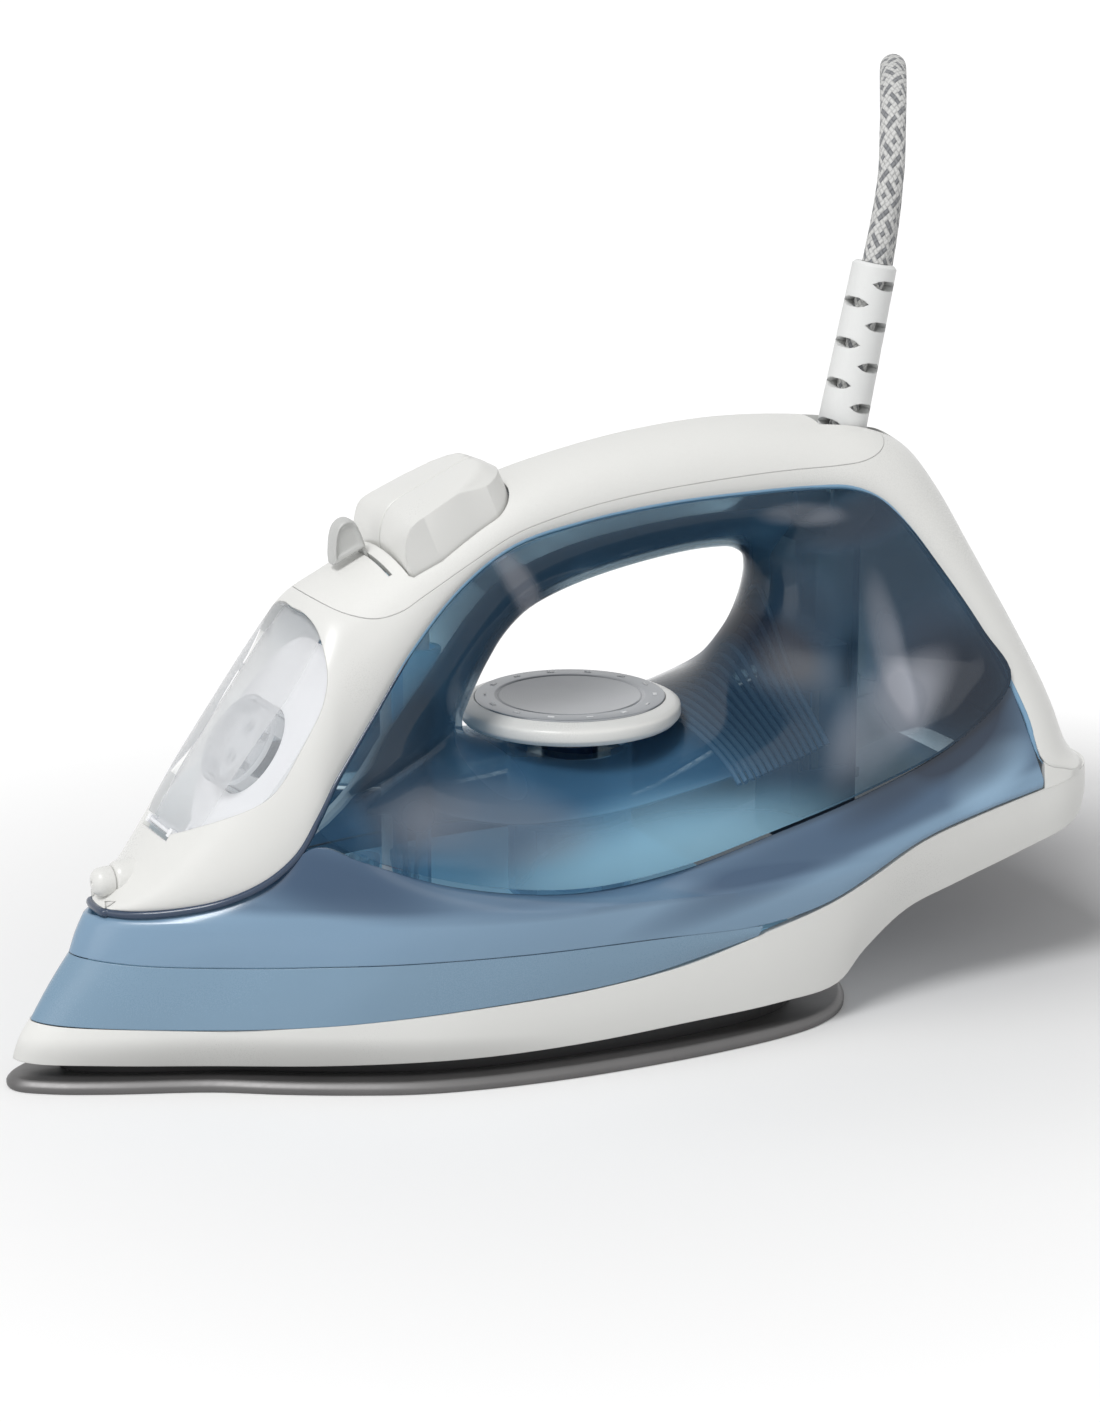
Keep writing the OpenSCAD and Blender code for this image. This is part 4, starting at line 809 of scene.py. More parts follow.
side = band(both_sides(belt_low, 8), both_sides(belt_crease, 8), 6, 0.3)
shelf = band(both_sides(belt_crease, 8), both_sides(shelf_in, 8), 8, 0.4)
side[:, 0] += up
belt = wall("blue_belt", np.concatenate([side, shelf[:, 1:]], 1), 1.8)
settle(belt, belt_blue, "iron", "blue_plastic", ("tank_belt",), 50)

# %% [markdown]
# ## The C-shaped shell and the handle cover
# Nose, handle and heel are one sweeping white shell. Its outer line lies on the middle
# plane and its inner edge meets the tank; between them runs a rounded section. The handle
# cover is the upper part of the same surface, parted along a line seen from the side, so
# one skin is made once and cut three ways: shell, cover and inlet door.

# %% The sweeping surface
ARCH_WALL = 2.2
spine = [(24.8, 0, 45.2), (27.4, 0, 47.8), (33.5, 0, 54), (41, 0, 63.5), (50.8, 0, 77.5), (60.7, 0, 91),
         (70.2, 0, 103.5), (78, 0, 114.2), (82.5, 0, 119.8), (91, 0, 124.4), (108, 0, 132.4),
         (125, 0, 139.4), (140, 0, 145), (160, 0, 149.8), (180, 0, 152.8), (203, 0, 154), (227, 0, 152.4),
         (243, 0, 149.6), (254.5, 0, 144), (262.5, 0, 134), (272, 0, 116), (283, 0, 93.5), (290, 0, 77.5),
         (293.8, 0, 66), (295, 0, 61.3)]
edge = [(25.9, 5, 45.3), (31, 10.3, 45.4), (40, 16.5, 46.6), (51, 22.5, 49.4), (61, 27.5, 54.8),
        (68.5, 29.5, 61.5), (74, 30, 70.5), (79, 28.6, 78.3), (84, 27, 84.4), (91, 25.2, 93),
        (103, 22.3, 107.8), (118, 19.3, 121.7), (134, 17.3, 130.6), (155, 16.2, 134.6), (178, 16, 136.8),
        (201, 16.4, 137.4), (220, 17.8, 137.4), (231.5, 19.7, 136.6), (239.5, 22, 132.8),
        (246, 25, 125.6), (255, 31.3, 111), (265, 40, 92), (271, 46, 76.5), (275, 49.6, 63),
        (284, 49, 59.5)]


def arch_rows(cuts, steps):
    """Rows across the shell: each runs from one inner edge over the spine to the other."""
    rows = []
    for s, e in zip(spline(at(spine), cuts), spline(at(edge), cuts)):
        w = e[1]
        near = np.array([s[0], 0.82 * w, s[2]])
        far = e * 0.58 + np.array([s[0], w, s[2]]) * 0.42 + np.array([0, 0.9, 0])
        h = np.array([bezier(s, near, far, e, k / steps) for k in range(steps + 1)])
        rows.append(np.concatenate([h[::-1], h[1:] * MIRROR]))
    return np.array(rows)


arch_skin = arch_rows(6, 20)
arch = wall("arch", arch_skin, ARCH_WALL)
print("arch:", len(arch.data.polygons), "faces")

# %% [markdown]
# ## Parting lines
# A parting line is drawn flat, seen from the side or from above its own panel, and pushed
# through the skin as a column. Where the column cuts decides where the parts meet. Drawn
# a little larger or smaller, the same line gives the fine gap between two parts.

# %% Parting lines, as cutting tools
cover_line = [(78.2, 122.5), (81.5, 120.4), (87, 117.6), (94, 116.2), (101, 117.6), (107, 120.6),
              (120, 127), (134, 133.2), (147, 136.4), (160, 138.6), (175, 140.2), (193, 141.3), (211, 142),
              (229, 142.2), (236, 142.8), (242, 144.6), (247, 147.6), (250, 151)]
door_rim = [(40.5, 0, 62.6), (41, 7.5, 64), (51.5, 19.5, 68.9), (60.5, 25.5, 75), (70, 26.6, 86.9),
            (77, 25, 98.6), (79.5, 21.5, 106.5), (79.8, 14.5, 114), (79, 6.5, 117), (78.4, 0, 117.2)]
DECK = atan2(139.4 - 124.4, 125 - 91)
turned_back = Matrix.Rotation(pi, 4, "Z")
deck_place = Matrix.Translation((TIP - 116, 0, 135.4)) @ Matrix.Rotation(DECK, 4, "Y") @ turned_back
panel_foot = at([(41, 0, 63.5)])[0]
panel_head = at([(78, 0, 114.2)])[0]
PANEL = atan2(panel_head[2] - panel_foot[2], panel_foot[0] - panel_head[0])
panel_place = Matrix.Translation(panel_foot) @ Matrix.Rotation(PANEL, 4, "Y") @ turned_back
side_place = Matrix.Translation((0, 60, 0)) @ Matrix.Rotation(pi / 2, 4, "X")


def cover_tool(grow):
    line = spline([(TIP - d, z) for d, z in cover_line], 8)
    line[:, 1] -= grow
    ends = [(TIP - 250 - grow, 190), (TIP - 76 + grow, 190), (TIP - 78.2 + grow, 122.5)]
    return column("cover_tool", list(map(tuple, line)) + ends, 0, 120, side_place)


def door_plan(m):
    axis = np.array([-cos(PANEL), 0, sin(PANEL)])
    p = at(door_rim) - panel_foot
    half = spline(np.stack([p @ axis, p[:, 1]], 1), 8)
    mid = (half[0, 0] + half[-1, 0]) / 2
    kx = (half[-1, 0] - mid - m) / (half[-1, 0] - mid)
    half = np.stack([mid + (half[:, 0] - mid) * kx, half[:, 1] * (1 - m / 26)], 1)
    return [tuple(p) for p in half] + [(x, -y) for x, y in half[-2:0:-1]]


def door_tool(m):
    return column("door_tool", door_plan(m), -15, 20, panel_place)


def box_tool(x, y, z, place):
    ends = [(x[0], y[0]), (x[1], y[0]), (x[1], y[1]), (x[0], y[1])]
    return column("box_tool", ends, z[0], z[1], place)


BUTTON_FRONT, BUTTON_BACK, BUTTON_HALF, SPLIT = -14.0, 22.0, 16.5, 0.7


def key_plan(m, arc=8):
    """Half of the two keys' plan: square in front, rounded behind, m smaller all round."""
    w, l = BUTTON_HALF, BUTTON_BACK
    r = w * 0.62
    p = [(BUTTON_FRONT + m, m), (BUTTON_FRONT + m, w - m - 0.8), (BUTTON_FRONT + m + 0.8, w - m),
         (-5, w - m), (l * 0.36, w * 0.89 - m)]
    p += [(l - r + (r - m) * cos(radians(a)), w * 0.86 - r + (r - m) * sin(radians(a)))
          for a in np.linspace(84, 0, arc)]
    return p + [(l - m, m)]


def key_tool(low, high):
    h = [(x, y + SPLIT / 2) for x, y in key_plan(-0.35, 16)]
    h[0], h[-1] = (h[0][0], 0), (h[-1][0], 0)
    return column("key_tool", h + [(x, -y) for x, y in h[-2:0:-1]], low, high, deck_place)


def guard_tool():
    return box_tool((-102.95, -80.5), (-7.45, 7.45), (141, 161), Matrix.Identity(4))


LEVER = -19.0
lever_slot = (LEVER + 0.5, LEVER + 1.5)
print("deck leans", round(DECK, 3), "and the nose panel", round(PANEL, 3), "radians")

# %% [markdown]
# ## White shell, nose and handle cover
# Shell and cover are two copies of the skin, each cut by its own tools. The shell loses
# the cover, the door, the keys and the guard's hole; the cover keeps only what lies above
# the parting line. Low on the nose the shell is one solid wedge: its first rows, filled
# from side to side and set back a hair, so that no gap shows above the belt.

# %% Shell, nose and cover
NOSE_ROWS, SET_BACK = 13, 0.05
shell = twin(arch, "c_shell")
for tool in (cover_tool(0.04), door_tool(0), key_tool(-14, 0), guard_tool(),
             box_tool((-1.2, 1.8), (-8.5, 8.5), (-15, 15), panel_place)):
    cut(shell, tool)
settle(shell, white, "iron", "white_plastic", ("c_frame",))

front = arch_skin[:NOSE_ROWS] - np.array([SET_BACK, 0, 0])
across = front.shape[1]
starts = [i * across for i in range(NOSE_ROWS)]
faces = ladder(NOSE_ROWS, across, loop=False) + [range(across), range(starts[-1], starts[-1] + across)]
faces += [(a, b, b + across - 1, a + across - 1) for a, b in zip(starts, starts[1:])]
settle(solid("nose_front", front.reshape(-1, 3), faces), white, "iron", "white_plastic")

cover = twin(arch, "grip_cover")
cut(cover, cover_tool(-0.04), "INTERSECT")
for tool in (key_tool(-14, 20), guard_tool(), door_tool(-0.4),
             box_tool(lever_slot, (-14, 17), (-10, 10), deck_place)):
    cut(cover, tool)
settle(cover, grip_white, "iron", "white_plastic", ("handle_cover",))

# %% [markdown]
# ## Heel band
# The shell's tail stands a little above the base's rim. A narrow white band joins the two
# round the heel, as the tongue of the real moulding does.

# %% Heel band
rim = both_sides(base_high, 12, True)
edge_line = spline(at(edge), 12)
side_run = edge_line[edge_line[:, 0] < TIP - 274.6]
tail_run = np.concatenate([side_run, arch_rows(2, 40)[-1][1:-1], side_run[::-1] * MIRROR])
foot_run = np.array([rim[np.argmin(((rim - p) ** 2 * [1, 1, 0.2]).sum(1))] for p in tail_run])
foot_run[:, 2] -= 0.5
heel_band = wall("heel_band", np.stack([foot_run, tail_run], 1), 1.6)
settle(turned_outward(heel_band), white, "iron", "white_plastic")

# %% [markdown]
# ## Clear plastics
# Clear blue plastic is mostly a filter: light passes and loses its red. A Transparent
# shader does that and lets the lamps through to the works inside, which refracting glass
# would leave black. A milky share of plain blue and a mirror share that grows towards the
# rim, both from a Fresnel node, are mixed over it. Some clear parts also get a painted glow.
# In the tank, soft patches stand for what a thick clear wall shows: dark depths, darker
# patches, a painted pale glow below and painted milky reflections.

# %% Clear finishes
def clear(name, tint, body, milk, rough=0.08, rim=0.9, cloud=0.1, own_light=0.0, turned=None):
    f = Finish(name)
    haze = f.noise(0.03)
    colour, side = f.blend(haze, darker(body, 0.8), body), None
    if turned:
        side = f.grazing(*turned[:2])
        colour = f.blend(side, colour, turned[2])
        side = side * 0.8
    # own_light is a painted glow, for the light that reaches the part through the clear walls around it.
    skin = f.surface(base_color=colour, roughness=(rough + (haze - 0.5) * 0.05).clamp(),
                     emission_color=colour, emission_strength=own_light, normal=f.bump(haze, 0.0001))
    return f.over_clear(tint, 1.5, 0.04, milk + (haze - 0.5) * cloud, rim, skin, side)


def tank_finish():
    """Clear blue, with navy depths at the heel, darker patches, a painted pale glow below and painted milky
    reflections.
    """
    f = Finish("clear_blue_tank")
    haze = f.noise(0.03)
    deep = (f.patch((252, 86), (28, 26), 30) + f.patch((232, 128), (24, 9), 20) * 0.8
            + f.patch((216, 102), (14, 20), 0) * 0.7 + f.patch((202, 84), (26, 24), 0) * 0.8).clamp()
    dusk = (f.patch((240, 112), (20, 24), 25) + f.patch((95, 74), (12, 30), -30) * 0.6).clamp()
    # A painted pale glow low in the tank, for the light that reaches its floor.
    painted_glow = f.patch((160, 51), (72, 17), 5).clamp()
    upper = (f.patch((132, 112), (30, 26), -45) + f.patch((100, 84), (24, 30), -30)
             + f.patch((175, 130), (60, 12), 6)).clamp()
    # milk: painted milky reflections of the studio's lights.
    milk = (f.patch((230, 78), (30, 10), 36) * 0.8 + f.patch((236, 96), (5, 22), 4) * 0.5
            + f.patch((217, 130), (14, 4.5), -4) * 0.7 + f.patch((116, 64), (34, 11), -6) * 0.6
            + f.patch((137, 118), (22, 5), -52) * 0.8).clamp()
    dull = (f.patch((216, 90), (22, 16)) + f.patch((128, 76), (12, 12))).clamp()
    colour = f.blend(haze, rgb(72, 108, 138), rgb(92, 130, 160))
    colour = f.layers(colour, (painted_glow, (158, 208, 232)), ((dusk + upper * 0.8).clamp(), (52, 76, 98)),
                      (deep, (20, 34, 52)), (milk, (150, 154, 164)))
    own = 0.07 + (haze - 0.5) * 0.06 + deep * 0.68 + dusk * 0.38 + upper * 0.38 + painted_glow * 0.46 + milk * 0.32
    roughness = (0.07 + (haze - 0.5) * 0.04 + dull * 0.4).clamp()
    skin = f.surface(base_color=colour, roughness=roughness, normal=f.bump(haze, 0.0001))
    return f.over_clear((0.80, 0.90, 0.945), 1.45, 0.035, own, 0.7, skin)


tank_blue = tank_finish()
rib_blue = clear("clear_blue_rib", (0.70, 0.83, 0.92), rgb(138, 168, 194), 0.62)
door_clear = clear("clear_grey_door", (0.985, 0.985, 0.987), rgb(226, 227, 229), 0.0, 0.05, 0.6, 0.02)
tube_clear = clear("milky_tube", (0.80, 0.90, 0.95), rgb(140, 176, 200), 0.30, 0.12, 0.9, 0.1, 0.12)
funnel_clear = clear("milky_funnel", (0.90, 0.905, 0.91), rgb(212, 214, 216), 0.25, 0.12, 0.9, 0.1, 0.35,
                     turned=(0.62, 0.92, rgb(74, 76, 80)))
lamp_blue = clear("lamp_window", (0.3, 0.6, 0.95), rgb(40, 120, 220), 0.35, 0.1)
print("clear plastics made")

# %% [markdown]
# ## Inlet door
# The clear door over the water inlet is the third part of the sweeping skin. Its lower edge
# is trimmed back, and notched on both sides of the hinge, so that the door can swing open.

# %% Inlet door
door = twin(arch, "inlet_window")
cut(door, door_tool(0.4), "INTERSECT")
cut(door, box_tool((-5, 0.2), (-10, 10), (-15, 15), panel_place))
for reach in ((-12.3, -6.3), (6.3, 12.3)):
    cut(door, box_tool((-5, 2.4), reach, (-15, 15), panel_place))
bpy.data.objects.remove(arch)
settle(door, door_clear, "door", "clear_door", ("inlet_door",))

# %% [markdown]
# ## Water tank
# The clear tank fills the C and runs under the hand, round the hole for the fingers. Its
# section leaves the white shell's edge, swells, and turns into the rim of the hole.

# %% Tank
tank_edge = [(72.4, 31.3, 67.2), (78.6, 29, 77.6), (85, 26.8, 85.5), (97, 23.8, 100.6), (112, 20.5, 116.5),
             (127, 18.2, 127.4), (150, 16.5, 134), (178, 16, 136.8), (203, 16.5, 137.4),
             (223, 18.2, 137.3), (236, 20.9, 135), (244, 24, 128), (253, 29.9, 114.4),
             (262, 37.4, 97.8), (267.5, 42.6, 85.4), (250.6, 45.2, 71.6), (222, 47, 61.8),
             (191, 48.2, 54.4), (163, 48.8, 48.8), (134, 49, 47.6), (102, 46.2, 53.4), (79, 37.3, 61.7)]
tank_lean = [(9, -1, 2), (10, -1.5, -1), (11, -1.5, -3), (11, -1, -6), (8, -0.5, -8), (4, 0, -8),
             (1, 0, -7), (0, 0, -6), (0, 0, -6), (-1, 0, -6), (-5, -0.5, -4), (-10, -1.5, -2),
             (-14, -2, 0), (-17, -1.5, 2), (-14, -0.5, 7), (-6, -1, 12), (-3, -1.5, 13), (-2, -1.5, 13),
             (0, -1.5, 13), (2, -1.5, 13), (5, -1.5, 12), (8, -2, 9)]
hole_rim = [(124, 16, 84), (126, 14.5, 88.6), (128.4, 13.5, 93.6), (131.6, 13, 99.6), (136, 12.5, 105.6),
            (143, 11.5, 110.8), (156, 10.5, 115.6), (178, 10, 120), (196, 10, 121.6), (206, 11, 120.5),
            (212, 13, 116.5), (214, 15, 110.5), (213.4, 17, 104), (210.5, 18.5, 97), (206, 20.5, 91),
            (199.5, 24, 83), (190, 28, 76.6), (176, 31, 72.6), (160, 32, 71.6), (145, 31, 72),
            (131, 27, 73.6), (124, 20.5, 78.4)]


def tank_rows(cuts, steps):
    o, r = spline(at(tank_edge), cuts, True), spline(at(hole_rim), cuts, True)
    l = spline([(-a, b, c) for a, b, c in tank_lean], cuts, True)
    rows = []
    for p, q, n in zip(o, r, l):
        start = p + 0.55 * unit(np.array([q[0], p[1], q[2]]) - p)
        middle = np.array([q[0], 0, q[2]])
        h = np.array([bezier(start, start + n, q, middle, k / steps) for k in range(steps + 1)])
        rows.append(np.concatenate([h, h[-2::-1] * MIRROR]))
    return np.array(rows)


DIAL, WELL_RADIUS = -10.5, 17.05
tank_skin = tank_rows(6, 22)
tank = wall("water_tank", tank_skin, 1.8, loop=True)
cut(tank, column("well_tool", disc(WELL_RADIUS, DIAL), 60, 90))
settle(tank, tank_blue, "iron", "clear_blue", ("tank_shell",), 40)

# %% [markdown]
# ## Ribs behind the dial
# Under the rear of the grip the tank's top carries fine ribs that run from the rim of the
# finger hole down to the shelf. Each rib is one line across the tank's surface at its own
# distance from the tip. The lines are marked on the surface first, and a small tree of
# nodes turns every line into a low rounded rib, so their number and height stay easy to
# change.

# %% Ribs
def slice_lines(rows, distances, columns, floor=48.0, top=112.0, sink=0.15):
    """Lines where planes across the iron meet the rear lower part of the tank's surface."""
    lines = []
    for d in distances:
        x0, run = TIP - d, []
        for ring in (rows[:, j] for j in columns):
            nxt = np.roll(ring, -1, 0)
            crossing = (ring[:, 0] - x0) * (nxt[:, 0] - x0) <= 0
            hit = np.where(crossing & (ring[:, 2] < top) & (ring[:, 2] > floor))[0]
            if not len(hit):
                continue
            i = hit[np.argmin(ring[hit, 2])]
            t = (x0 - ring[i, 0]) / (nxt[i, 0] - ring[i, 0] + 1e-9)
            run.append(ring[i] + (nxt[i] - ring[i]) * min(max(t, 0), 1))
        if len(run) > 3:
            lines.append(np.array(run) - [0, 0, sink])
    return lines


def line_marks(name, lines):
    """Loose lines, for a tree to turn into ribs."""
    edges, first = [], 0
    for l in lines:
        edges += [(first + i, first + i + 1) for i in range(len(l) - 1)]
        first += len(l)
    return add_mesh(name, [p for l in lines for p in l], (), edges)


near = slice_lines(tank_skin, np.linspace(187, 214, 15), range(8, 23))
ribs_both = near + [l * MIRROR for l in near]
print("ribs:", len(ribs_both), [len(l) for l in near])

# %% [markdown]
# ## Soleplate and steam vents
# The sole is an aluminium casting with a ground bright chamfer and a smooth ceramic face
# underneath. Its plan is one spline, its edge a short row of rounded steps. The steam vents
# repeat by a rule, so Geometry Nodes place them: one short cylinder on each marked point,
# realised into one mesh, which then cuts the plate.

# %% Geometry Nodes helpers
class Tree(Nodes):
    """A Geometry Nodes tree with named inputs, built in the script."""
    def __init__(self, name, **sizes):
        self.tree = bpy.data.node_groups.new(name, "GeometryNodeTree")
        face = self.tree.interface
        face.new_socket("Geometry", in_out="INPUT", socket_type="NodeSocketGeometry")
        self.ids = {}
        for key, value in sizes.items():
            kind = "NodeSocketInt" if isinstance(value, int) else "NodeSocketFloat"
            s = face.new_socket(key, in_out="INPUT", socket_type=kind)
            s.default_value = value
            self.ids[key] = s.identifier
        face.new_socket("Geometry", in_out="OUTPUT", socket_type="NodeSocketGeometry")
        self.start = self.tree.nodes.new("NodeGroupInput")
        self.end = self.tree.nodes.new("NodeGroupOutput")
        self.sizes = sizes

    def size(self, key):
        return self.start.outputs[key]

    def math(self, how, *values):
        return self.node("ShaderNodeMath", dict(enumerate(values)), operation=how)

    def combine(self, *values):
        return self.node("ShaderNodeCombineXYZ", dict(enumerate(values)))

    def finish(self, geometry, material):
        real = self.node("GeometryNodeRealizeInstances", {0: geometry})
        painted = self.node("GeometryNodeSetMaterial", {"Geometry": real, "Material": material})
        self.feed(self.end.inputs[0], painted)

    def grow(self, ob):
        """Runs the tree on an object and keeps the result as a plain mesh."""
        m = ob.modifiers.new("nodes", "NODES")
        m.node_group = self.tree
        for key, value in self.sizes.items():
            m[self.ids[key]] = value
        ob.update_tag()
        bpy.context.view_layer.update()
        made = bpy.data.meshes.new_from_object(ob.evaluated_get(bpy.context.evaluated_depsgraph_get()))
        ob.modifiers.clear()
        ob.data = made
        print(ob.name, "grown:", len(made.polygons), "faces")
        return ob


def marks(name, points):
    """Loose points, in metres, for a tree to put things on."""
    return add_mesh(name, points, scale=1)


print("Geometry Nodes are built with", Tree.__name__)

# %% Satin aluminium
satin_metal = Finish("satin_aluminium")
streak = satin_metal.noise(0.0007, 3.0, satin_metal.place((0.05, 1, 1)))
cloudy = satin_metal.noise(0.03, 2.0)
satin_sole = satin_metal.done(satin_metal.surface(
    base_color=satin_metal.blend(cloudy, rgb(100, 99, 99), rgb(116, 115, 115)), metallic=0.7,
    roughness=(0.44 + (streak - 0.5) * 0.12 + (cloudy - 0.5) * 0.1).clamp(),
    normal=satin_metal.bump(streak, 0.00001, 0.0003)))
print("sole finish:", satin_sole.name)

# %% Soleplate
sole_half = [(0, 0), (1.2, 4), (9, 10), (21, 16), (45, 26), (60, 35), (75, 43), (91, 50), (108, 54.3),
             (130, 57.2), (154, 58), (176, 57.2), (194, 55), (206, 51.5), (216, 45), (223, 35), (227, 22),
             (228.5, 8), (228.5, 0)]
SOLE = 3.3


def sole_plan(cuts):
    half = np.array([(TIP - d, y) for d, y in sole_half], float)
    ring = np.concatenate([half[:0:-1] * [1, -1], half[:-1]])
    return spline(ring, cuts, loop=True)


def sole_ring(plan, inset, z):
    along = slope(plan, True)
    out = unit(np.stack([along[:, 1], -along[:, 0]], 1))
    return [(x, y, z) for x, y in plan - inset * out]


plan = sole_plan(8)
area = np.sum(plan[:, 0] * np.roll(plan[:, 1], -1) - np.roll(plan[:, 0], -1) * plan[:, 1])
plan = plan if area > 0 else plan[::-1]
steps_up = [(1.1, 0.0), (0.45, 0.08), (0.1, 0.35), (0.0, 0.8), (0.0, 1.5), (0.25, 2.0), (0.9, 2.75),
            (1.3, 3.1), (1.9, SOLE)]
sole = stack("sole_plate", [sole_ring(plan, inset, z) for inset, z in steps_up])
vents = [(34 + 13 * k, s * (4.5 + 5.2 * k)) for k in range(5) for s in (-1, 1)]
vents += [(104 + 14 * k, s * (33 - 1.5 * k)) for k in range(6) for s in (-1, 1)]
vents += [(52 + 16 * k, 0) for k in range(3)]
print("sole:", len(sole.data.polygons), "faces and", len(vents), "places for vents")

# %% Steam vents
vent_tree = Tree("steam_vents", Bore=0.0026, Depth=0.006, Sides=24)
drill = vent_tree.node("GeometryNodeMeshCylinder", {
    "Vertices": vent_tree.size("Sides"), "Depth": vent_tree.size("Depth"),
    "Radius": vent_tree.math("MULTIPLY", vent_tree.size("Bore"), 0.5)}, fill_type="NGON")
spots = vent_tree.node("GeometryNodeMeshToPoints", {"Mesh": vent_tree.size("Geometry")})
drills = vent_tree.node("GeometryNodeInstanceOnPoints", {
    "Points": spots, "Instance": drill.outputs["Mesh"]})
vent_tree.finish(drills, satin_sole)
vent_tool = vent_tree.grow(marks("vent_marks", [((TIP - d) * MM, y * MM, SOLE / 2 * MM) for d, y in vents]))
cut(sole, vent_tool)
settle(sole, satin_sole, "iron", "ceramic_sole", ("soleplate",), 30)

# %% [markdown]
# ## Temperature dial
# The dial is a white ring with a slanting side, a satin silver plate in it, dished in the
# middle, and fourteen small pale marks. Both turned parts come from a profile spun round
# the axle. The marks go round by a rule, so Geometry Nodes set them on a circle: a longer
# and a shorter one by turns.

# %% Dial
DIAL_LOW, DIAL_BORE = 77.5, 3.02
SEAT, TOP = DIAL_LOW + 4.45, DIAL_LOW + 6.3
dial_place = Matrix.Translation((DIAL, 0, 0))


def at_height(base, profile):
    return [(r, base + h) for r, h in profile]


ring_profile = at_height(DIAL_LOW, [
    (0, -4.6), (6, -4.6), (6, 1), (26.3, 1), (26.4, 0.1), (26.7, 0), (27.9, 0), (28.2, 0.12), (29.2, 1.3),
    (29.38, 1.7), (29.3, 3.6), (29.2, 4.1), (28.85, 4.45), (27.4, 5.1), (25.7, 5.75), (25.35, 5.85),
    (25.3, 5.6), (25.3, 4.41), (0, 4.41)])
ring_ob = lathe("dial_ring", ring_profile, 160, dial_place)
cut(ring_ob, column("bore_tool", disc(DIAL_BORE, DIAL), DIAL_LOW - 5, DIAL_LOW + 4))
settle(ring_ob, white, "dial", "white_plastic", ("dial_rim",), 40)

# %% Dial plate
plate_metal = Finish("spun_silver")
x, y, _ = plate_metal.axes(plate_metal.place())
x = x - DIAL * MM
radius = (x * x + y * y).root()
grooves = (radius * 9000.0).wave()
fog = plate_metal.noise(0.012)
# A painted sheen: one side of the plate is painted lighter, the other darker.
painted_sheen = (x * -9.0 + y * 14.0 + 0.45).clamp()
tone = plate_metal.blend((painted_sheen + (fog - 0.5) * 0.3).clamp(), rgb(112, 115, 120), rgb(188, 190, 193))
tone = plate_metal.blend((radius - 0.0198).step(0.0, 0.0003), tone, rgb(158, 161, 165))
silver = plate_metal.done(plate_metal.surface(
    base_color=tone, metallic=0.55, roughness=(0.34 + (fog - 0.5) * 0.1).clamp(),
    normal=plate_metal.bump(grooves, 0.000004)))
plate_profile = [(0, SEAT), (25.15, SEAT)] + at_height(TOP, [
    (25.2, -0.55), (25.05, -0.15), (24.7, -0.02), (20.2, 0), (19.8, -0.08), (19.5, -0.42), (19.1, -0.46),
    (18.7, -0.16), (18.2, -0.2), (12, -0.9), (6, -1.2), (2, -1.28), (0, -1.3)])
plate = lathe("dial_face", plate_profile, 160, dial_place)
settle(plate, silver, "dial", "silver_plate", ("dial_plate",), 40)

# %% Dial marks
MARK_HEIGHT, MARK_LIFT, SHORTER = 0.00016, 0.04, -0.45
mark_paint = moulded("mark_paint", rgb(232, 233, 234), 0.5)
mark_tree = Tree("dial_marks", Count=14, Radius=0.0224, Long=0.0011, Wide=0.0018)
circle_line = mark_tree.node("GeometryNodeMeshCircle", {"Vertices": mark_tree.size("Count"),
                                                        "Radius": mark_tree.size("Radius")})
where = mark_tree.node("GeometryNodeInputPosition")
facing = mark_tree.node("FunctionNodeAlignRotationToVector", {"Vector": where}, axis="X")
parity = mark_tree.math("MODULO", mark_tree.node("GeometryNodeInputIndex"), 2.0)
length = mark_tree.math("MULTIPLY_ADD", parity, SHORTER, 1.0)
bar_size = mark_tree.combine(mark_tree.size("Long"), mark_tree.size("Wide"), MARK_HEIGHT)
bar = mark_tree.node("GeometryNodeMeshCube", {"Size": bar_size})
bars = mark_tree.node("GeometryNodeInstanceOnPoints", {
    "Points": circle_line, "Instance": bar.outputs["Mesh"], "Rotation": facing,
    "Scale": mark_tree.combine(length, 1.0, 1.0)})
set_up = mark_tree.node("GeometryNodeTransform", {
    "Geometry": bars, "Translation": (DIAL * MM, 0, (TOP + MARK_LIFT) * MM)})
mark_tree.finish(set_up, mark_paint)
dial_marks = mark_tree.grow(marks("dial_marks", [(0, 0, 0)]))
settle(dial_marks, mark_paint, "dial", "grey_plastic")

# %% [markdown]
# ## Push buttons
# Two keys sit side by side on the deck behind the lever: spray and steam boost. Seen from
# the side they are one smooth crown, upright in front and rounded behind. A surface whose
# height is a formula gives that better than a bevelled block: the height is the softer of
# two rules, one along the key and one across it, and falls away near the rim.

# %% Keys
KEY_GAP, KEY_HEIGHT, CROWN, EDGE_ROUND = 0.3, 9.0, 70.0, 0.9
along_key = spline([(-14.0, 0, -5), (-13.7, 0, -1.6), (-12.7, 0, 1.4), (-11, 0, 4.2), (-8.8, 0, 6.5),
                    (-6, 0, 8.1), (-2.6, 0, 8.85), (3, 0, KEY_HEIGHT), (22, 0, KEY_HEIGHT)], 8)
flank = key_plan(0)
rounded = [tuple(p[:2]) for p in spline([(u, v, 0) for u, v in flank[2:-1]], 5)]
outer_half = np.array([(BUTTON_FRONT, 0), flank[1], *rounded, (BUTTON_BACK, 0)])
outer = np.concatenate([outer_half, outer_half[::-1] * [1, -1]])


def from_rim(u, v):
    """Distance in plan from the rim that the two keys share."""
    a, b = outer, np.roll(outer, -1, 0)
    d = b - a
    run = np.maximum((d * d).sum(1), 1e-9)
    t = np.clip(((u - a[:, 0]) * d[:, 0] + (v - a[:, 1]) * d[:, 1]) / run, 0, 1)
    near = a + d * t[:, None]
    return float(np.hypot(near[:, 0] - u, near[:, 1] - v).min())


def softer(a, b, k):
    h = max(k - abs(a - b), 0.0) / k
    return min(a, b) - h * h * k * 0.25


